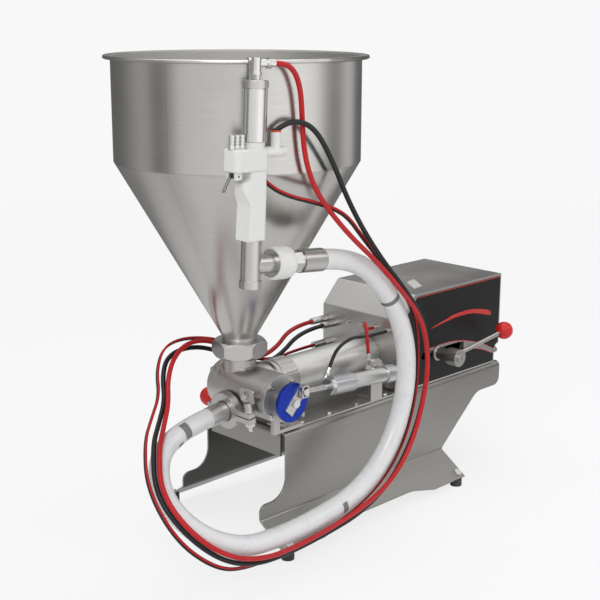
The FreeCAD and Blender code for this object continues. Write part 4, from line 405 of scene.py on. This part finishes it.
def dress_nodes():
    """Give each node of the solids its material."""
    for key, names in WEARS.items():
        for name in names:
            slots = NODES[name].data.materials
            slots.clear()
            slots.append(MATERIALS[key])


# Pieces

def piece(name, mesh, material, body="base"):
    """A new object with a material, riding on a body."""
    made = bpy.data.objects.new(name, mesh)
    bpy.context.scene.collection.objects.link(made)
    mesh.materials.append(MATERIALS[material])
    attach(made, body)
    return made


def metres(route):
    """A route's points in metres."""
    return [Vector(point) / 1000 for point in route]


CORD_STEPS = 12
CORD_ROUNDNESS = 7


def spline_curve(name, route, radius):
    """A round tube along a smooth spline whose control points are the route."""
    curve = bpy.data.curves.new(name, "CURVE")
    curve.dimensions = "3D"
    curve.resolution_u = CORD_STEPS
    curve.bevel_depth = radius
    curve.bevel_resolution = CORD_ROUNDNESS
    curve.use_fill_caps = True
    spline = curve.splines.new("NURBS")
    spline.points.add(len(route) - 1)
    for target, point in zip(spline.points, route):
        target.co = (*point, 1)
    spline.order_u = 3
    spline.use_endpoint_u = True
    return curve


def spline_points(route):
    """Points along the smooth spline of a route, as the renderer has them."""
    curve = spline_curve("measure", route, 0)
    curve.use_fill_caps = False
    measure = bpy.data.objects.new("measure", curve)
    bpy.context.scene.collection.objects.link(measure)
    bpy.context.view_layer.update()
    finished = measure.evaluated_get(bpy.context.evaluated_depsgraph_get())
    mesh = bpy.data.meshes.new_from_object(finished)
    points = [v.co.copy() for v in mesh.vertices]
    bpy.data.objects.remove(measure)
    bpy.data.meshes.remove(mesh)
    return points


def length_of(points):
    """The length of a line through points."""
    return sum((b - a).length for a, b in zip(points, points[1:]))


HOSE_RADIUS = 0.0165

# Each cord: its piece, the node it stands for, its route, radius, material and slot
CORDS = (
    ("hose_smooth", "food_hose", HOSE_ROUTE_MM, HOSE_RADIUS, "hose", "hose_clear"),
    ("red_line_smooth", "hose_line_red", RED_ROUTE_MM, 0.004, "red_line", "line_red"),
    ("black_line_smooth", "hose_line_black", BLACK_ROUTE_MM, 0.004, "black_line", "line_black"),
    ("actuator_red_smooth", "actuator_line_red", REAR_LINE_ROUTE_MM, 0.003, "red_line", "line_red"),
    ("actuator_black_smooth", "actuator_line_black", FRONT_LINE_ROUTE_MM, 0.003, "black_line",
     "line_black"),
)

# The gun's trigger line is a pair of thin lines side by side, each this far from the pair's middle
TWIN_STEP = Vector((0.0008, -0.0008, 0.0014))
TWIN_RADIUS = 0.0019


def make_cord(name, node, route, radius, material):
    """A cord that stands for a node, which is hidden."""
    length = length_of(spline_points(route))
    made = piece(name, spline_curve(name, route, radius), material, "base")
    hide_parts(node)


def make_cords():
    """The hose with its marks, the air lines and the gun's pair of thin lines."""
    for name, node, route_mm, radius, material, slot in CORDS:
        extras = [hose_mark(*mark) for mark in HOSE_MARKS] if node == "food_hose" else []
        make_cord(name, node, metres(route_mm), radius, material)
    pair = metres(TRIGGER_ROUTE_MM)
    red = [point + TWIN_STEP for point in pair]
    dark = [point - TWIN_STEP for point in pair]
    make_cord("trigger_line_red", "trigger_lines", red, TWIN_RADIUS, "red_line")
    make_cord("trigger_line_dark", "trigger_lines", dark, TWIN_RADIUS, "black_line")


# Grey printed marks on the hose: name, share of the hose's length, own length, the side they
# face and half their spread in degrees
HOSE_MARKS = (
    ("hose_mark_upper", 0.162, 0.009, (-0.7, -0.7, 0.2), 95),
    ("hose_mark_lower", 0.520, 0.012, (0.2, -0.8, -0.6), 70),
    ("hose_mark_inner", 0.930, 0.015, (0.5, -0.7, -0.5), 22),
    ("hose_mark_outer", 0.950, 0.015, (-0.5, -0.8, 0.3), 52),
)
MARK_PROUD = 0.00015
MARK_SIDES = 16
MARK_STEPS = 6


def strip_mesh(name, rings):
    """A smooth open sheet through rows of points."""
    mesh = bpy.data.meshes.new(name)
    bm = bmesh.new()
    rows = [[bm.verts.new(point) for point in ring] for ring in rings]
    for row, following in zip(rows, rows[1:]):
        for j in range(len(row) - 1):
            bm.faces.new((row[j], row[j + 1], following[j + 1], following[j])).smooth = True
    bm.to_mesh(mesh)
    bm.free()
    return mesh


def hose_mark(name, share, length, toward, half_spread):
    """A printed mark on the hose's skin, part of the way round."""
    points = spline_points(metres(HOSE_ROUTE_MM))
    middle = share * length_of(points)
    rings = []
    run = 0.0
    radius = HOSE_RADIUS + MARK_PROUD
    widest = math.radians(half_spread)
    turns = [widest * (2 * j / MARK_SIDES - 1) for j in range(MARK_SIDES + 1)]
    for a, b in zip(points, points[1:]):
        way = (b - a).normalized()
        out = (Vector(toward) - way * way.dot(Vector(toward))).normalized()
        other = way.cross(out)
        for step in range(MARK_STEPS):
            if abs(run + (b - a).length * step / MARK_STEPS - middle) <= length / 2:
                centre = a.lerp(b, step / MARK_STEPS)
                rings.append([centre + radius * (out * math.cos(t) + other * math.sin(t))
                              for t in turns])
        run += (b - a).length
    return piece(name, strip_mesh(name, rings), "mark", "base")


# Films on the black panel and the blank sticker on the cabinet

# Each film's edges as pairs of (x, z) in millimetres, left to right
SWOOSH_UPPER = ((190, 303), (236, 313), (266, 318), (312, 318), (356, 310), (372, 304), (376, 300))
SWOOSH_LOWER = ((190, 302), (236, 308), (266, 311), (312, 310), (352, 301), (370, 296), (375, 297))
SLOT_UPPER = ((184, 263.5), (212, 265), (238, 265), (264, 263.3), (291, 259))
SLOT_LOWER = ((184, 260.3), (212, 260.3), (238, 260.3), (270, 260.3), (291, 257.8))
BAND_UPPER = ((291, 259), (316, 252.5), (342, 244.5), (366, 234), (386, 224))
BAND_LOWER = ((291, 245.5), (320, 239), (349, 231), (370, 223), (386, 216))
FILM_THICK = 0.0002
RED_EDGE_MM = 1.3
EDGE_STEPS = 6
TOP_LINE_LEFT_MM = 24
TOP_LINE_RIGHT_MM = 1
TOP_LINE_DROP_MM = 0.5
STICKER_ROWS = (((0.210, -0.018), (0.240, -0.012)), ((0.176, -0.066), (0.206, -0.060)))


def smooth_edge(points):
    """A smooth line through points of the panel's plane."""
    path = [Vector(point) for point in points]
    path = [path[0] * 2 - path[1]] + path + [path[-1] * 2 - path[-2]]
    line = []
    for a, b, c, d in zip(path, path[1:], path[2:], path[3:]):
        for step in range(EDGE_STEPS):
            t = step / EDGE_STEPS
            line.append(0.5 * (2 * b + (c - a) * t + (2 * a - 5 * b + 4 * c - d) * t ** 2
                               + (3 * b - a - 3 * c + d) * t ** 3))
    return line + [path[-2]]


def film(name, upper, lower, material):
    """A thin film on the panel's face between two edges, thick enough to have sides."""
    face = panel_low.y
    back = []
    front = []
    for edge in (smooth_edge(upper), smooth_edge(lower)):
        back.append([(x / 1000, face, z / 1000) for x, z in edge])
        front.append([(x / 1000, face - FILM_THICK, z / 1000) for x, z in edge])
    loop = [front[0], front[1], back[1], back[0], front[0]]
    made = piece(name, strip_mesh(name, loop), material, "base")
    for polygon in made.data.polygons:
        polygon.use_smooth = False
    return made


def shifted(edge, rise):
    """An edge moved up."""
    return tuple((x, z + rise) for x, z in edge)


def make_label():
    """The label's stripe, bands and red edges, and the cabinet's blank sticker."""
    film("label_swoosh", SWOOSH_UPPER, SWOOSH_LOWER, "film_red")
    film("label_slot_band", SLOT_UPPER, SLOT_LOWER, "film_grey")
    film("label_band", BAND_UPPER, BAND_LOWER, "film_grey")
    film("label_slot_edge", shifted(SLOT_UPPER, RED_EDGE_MM), SLOT_UPPER, "film_red")
    film("label_band_edge_top", shifted(BAND_UPPER, RED_EDGE_MM), BAND_UPPER, "film_red")
    film("label_band_edge_low", BAND_LOWER, shifted(BAND_LOWER, -RED_EDGE_MM), "film_red")
    height = panel_high.z * 1000 - TOP_LINE_DROP_MM
    line = ((panel_low.x * 1000 + TOP_LINE_LEFT_MM, height),
            (panel_high.x * 1000 - TOP_LINE_RIGHT_MM, height))
    film("label_top_line", line, shifted(line, -RED_EDGE_MM), "film_red")
    rows = [[(x, y, cabinet_high.z + FILM_THICK) for x, y in row] for row in STICKER_ROWS]
    piece("cabinet_sticker", strip_mesh("cabinet_sticker", rows), "paper", "base")


# Floor, camera and light

CLEAR_WHITE = (1, 1, 1, 1)
BACKDROP = 0.94
FLOOR_HALF = 15.0
FLOOR_DEPTH = 0.0002
FLOOR_GLOW = 0.985
FLOOR_SHARE = 0.80
FLOOR_ROUGHNESS = 0.8

# Distances from the origin over which the floor's mirror picture and its seen tone change
MIRROR_NEAR = 0.45
MIRROR_FAR = 1.1
TONE_NEAR = 1.2
TONE_FAR = 4.0

# The studio that the metal mirrors: share of a full turn from -X, and how bright it is there.
# Behind the camera it is a soft box, at the sides there are dark flags with gaps between them.
STUDIO = (
    (0.000, 0.95), (0.060, 1.00), (0.150, 1.15), (0.240, 1.45), (0.310, 1.30), (0.350, 0.70),
    (0.395, 0.30), (0.430, 0.70), (0.460, 0.80), (0.500, 0.25), (0.560, 0.14), (0.640, 0.30),
    (0.700, 0.16), (0.790, 0.20), (0.840, 0.34), (0.875, 0.50), (0.905, 0.55), (0.935, 0.26),
    (0.960, 0.36), (0.985, 0.75), (1.000, 0.95),
)
# The curve's own values stay under 1, so the studio's are halved there and doubled after it
STUDIO_SCALE = 2.0
WALL_RADIUS = 2.3
WALL_HEIGHT = 1.7
WALL_FADE = 0.5
WALL_SIDES = 96
WORLD_LIGHT = 0.45
CEILING = 1.25
CEILING_START = 0.45
CEILING_END = 0.80


def backdrop_share(tree):
    """1 for rays that show the background: seen, mirrored or through glass."""
    path = add_node(tree, "ShaderNodeLightPath").outputs
    seen = calculate(tree, "MAXIMUM", path["Is Camera Ray"], path["Is Glossy Ray"])
    return calculate(tree, "MAXIMUM", seen, path["Is Transmission Ray"])


def studio_glow(tree, way):
    """How bright the studio is in the direction of a vector."""
    turn = add_node(tree, "ShaderNodeTexGradient", {"Vector": way}, gradient_type="RADIAL")
    shape = add_node(tree, "ShaderNodeFloatCurve", {"Value": turn.outputs["Fac"]})
    curve = shape.mapping.curves[0]
    for share, strength in STUDIO[1:-1]:
        curve.points.new(share, strength / STUDIO_SCALE)
    curve.points[0].location = (0.0, STUDIO[0][1] / STUDIO_SCALE)
    curve.points[-1].location = (1.0, STUDIO[-1][1] / STUDIO_SCALE)
    shape.mapping.update()
    return calculate(tree, "MULTIPLY", shape.outputs[0], STUDIO_SCALE)


def stage_object(name, mesh):
    """A new object of the stage, and its material's tree, shader, place and output socket."""
    made = bpy.data.objects.new(name, mesh)
    bpy.context.scene.collection.objects.link(made)
    material, tree, shader, place = start_material(name)
    mesh.materials.append(material)
    out = next(node for node in tree.nodes if node.type == "OUTPUT_MATERIAL")
    return made, tree, shader, place, out.inputs["Surface"]


def glow_of(tree, strength):
    """White light of a strength."""
    inputs = {"Color": CLEAR_WHITE, "Strength": strength}
    return add_node(tree, "ShaderNodeEmission", inputs).outputs["Emission"]


def mixed(tree, share, first, second):
    """Two shaders mixed: the first where the share is 0, the second where it is 1."""
    return add_node(tree, "ShaderNodeMixShader", {0: share, 1: first, 2: second}).outputs[0]


def make_stage():
    """A wide floor that shows as plain pale ground and keeps a light shadow."""
    half = FLOOR_HALF
    corners = [(-half, -half, 0), (half, -half, 0), (half, half, 0), (-half, half, 0)]
    mesh = bpy.data.meshes.new("floor")
    mesh.from_pydata(corners, [], [(0, 1, 2, 3)])
    floor, tree, shader, place, surface = stage_object("floor", mesh)
    floor.location.z = -FLOOR_DEPTH
    shader.inputs["Base Color"].default_value = (*FLOOR, 1)
    shader.inputs["Roughness"].default_value = FLOOR_ROUGHNESS
    away = add_node(tree, "ShaderNodeVectorMath", {0: place}, operation="LENGTH").outputs["Value"]
    mirrored = blend(tree, ramp(tree, away, MIRROR_NEAR, MIRROR_FAR), FLOOR_GLOW,
                     studio_glow(tree, place))
    distant = ramp(tree, away, TONE_NEAR, TONE_FAR)
    seen = blend(tree, distant, FLOOR_GLOW, BACKDROP)
    glossy = add_node(tree, "ShaderNodeLightPath").outputs["Is Glossy Ray"]
    glow = glow_of(tree, blend(tree, glossy, seen, mirrored))
    reach = blend(tree, distant, FLOOR_SHARE, 1.0)
    share = calculate(tree, "MULTIPLY", backdrop_share(tree), reach)
    tree.links.new(mixed(tree, share, shader.outputs["BSDF"], glow), surface)


def make_camera():
    """The photograph's camera."""
    yaw, pitch, roll = (math.radians(a) for a in (CAMERA_YAW, CAMERA_PITCH, CAMERA_ROLL))
    forward = Vector((math.sin(yaw) * math.cos(pitch), math.cos(yaw) * math.cos(pitch), math.sin(pitch)))
    right = forward.cross(UP).normalized()
    up = right.cross(forward)
    turned = right * math.cos(roll) + up * math.sin(roll)
    upright = up * math.cos(roll) - right * math.sin(roll)
    data = bpy.data.cameras.new("camera")
    data.lens = CAMERA_LENS_MM
    data.sensor_width = SENSOR_WIDTH_MM
    data.sensor_fit = "HORIZONTAL"
    data.clip_end = CAMERA_REACH
    camera = bpy.data.objects.new("camera", data)
    bpy.context.scene.collection.objects.link(camera)
    rotation = Matrix((turned, upright, -forward)).transposed()
    camera.matrix_world = Matrix.Translation(CAMERA_PLACE) @ rotation.to_4x4()
    bpy.context.scene.camera = camera


def area_light(name, place, target, size, power):
    """A rectangular lamp turned toward a target."""
    data = bpy.data.lights.new(name, "AREA")
    data.shape = "RECTANGLE"
    data.size, data.size_y = size
    data.energy = power
    lamp = bpy.data.objects.new(name, data)
    bpy.context.scene.collection.objects.link(lamp)
    lamp.location = place
    lamp.rotation_euler = (Vector(target) - Vector(place)).to_track_quat("-Z", "Y").to_euler()


def make_wall():
    """A round wall of soft boxes and flags that only mirrored rays meet, fading out at its top."""
    turns = [2 * math.pi * k / WALL_SIDES for k in range(WALL_SIDES + 1)]
    rings = [[(WALL_RADIUS * math.cos(t), WALL_RADIUS * math.sin(t), z) for t in turns]
             for z in (0, WALL_HEIGHT)]
    wall, tree, _, place, surface = stage_object("studio_wall", strip_mesh("studio_wall", rings))
    for ray in ("camera", "diffuse", "transmission", "volume_scatter", "shadow"):
        setattr(wall, "visible_" + ray, False)
    glow = glow_of(tree, studio_glow(tree, place))
    clear = add_node(tree, "ShaderNodeBsdfTransparent").outputs["BSDF"]
    fade = ramp(tree, part_of(tree, place, "Z"), WALL_HEIGHT - WALL_FADE, WALL_HEIGHT)
    tree.links.new(mixed(tree, fade, glow, clear), surface)


def background(tree, tone, strength):
    """A background of a grey tone and a strength."""
    inputs = {"Color": (tone, tone, tone, 1), "Strength": strength}
    return add_node(tree, "ShaderNodeBackground", inputs).outputs[0]


def make_light():
    """Three soft lamps, and a world that is a studio to mirrored rays."""
    area_light("key", (-2.4, -1.6, 2.6), (0, 0, 0.4), (1.6, 1.6), 40)
    area_light("side", (2.0, -2.4, 1.7), (0, 0, 0.4), (1.2, 1.8), 20)
    area_light("top", (0.2, 0.4, 3.0), (0, 0, 0.3), (2.2, 2.2), 26)
    world = bpy.data.worlds.new("world")
    bpy.context.scene.world = world
    world.use_nodes = True
    tree = world.node_tree
    tree.nodes.clear()
    out = add_node(tree, "ShaderNodeOutputWorld")
    way = add_node(tree, "ShaderNodeTexCoord").outputs["Generated"]
    overhead = ramp(tree, part_of(tree, way, "Z"), CEILING_START, CEILING_END)
    studio = blend(tree, overhead, studio_glow(tree, way), CEILING)
    light = background(tree, 1, WORLD_LIGHT)
    shown = background(tree, BACKDROP, 1.0)
    lit = mixed(tree, backdrop_share(tree), light, shown)
    glossy = add_node(tree, "ShaderNodeLightPath").outputs["Is Glossy Ray"]
    tree.links.new(mixed(tree, glossy, lit, background(tree, 1, studio)), out.inputs["Surface"])
    bpy.context.scene.view_settings.view_transform = "Standard"


make_camera()
make_cords()
dress_nodes()
make_label()
make_stage()
make_wall()
make_light()
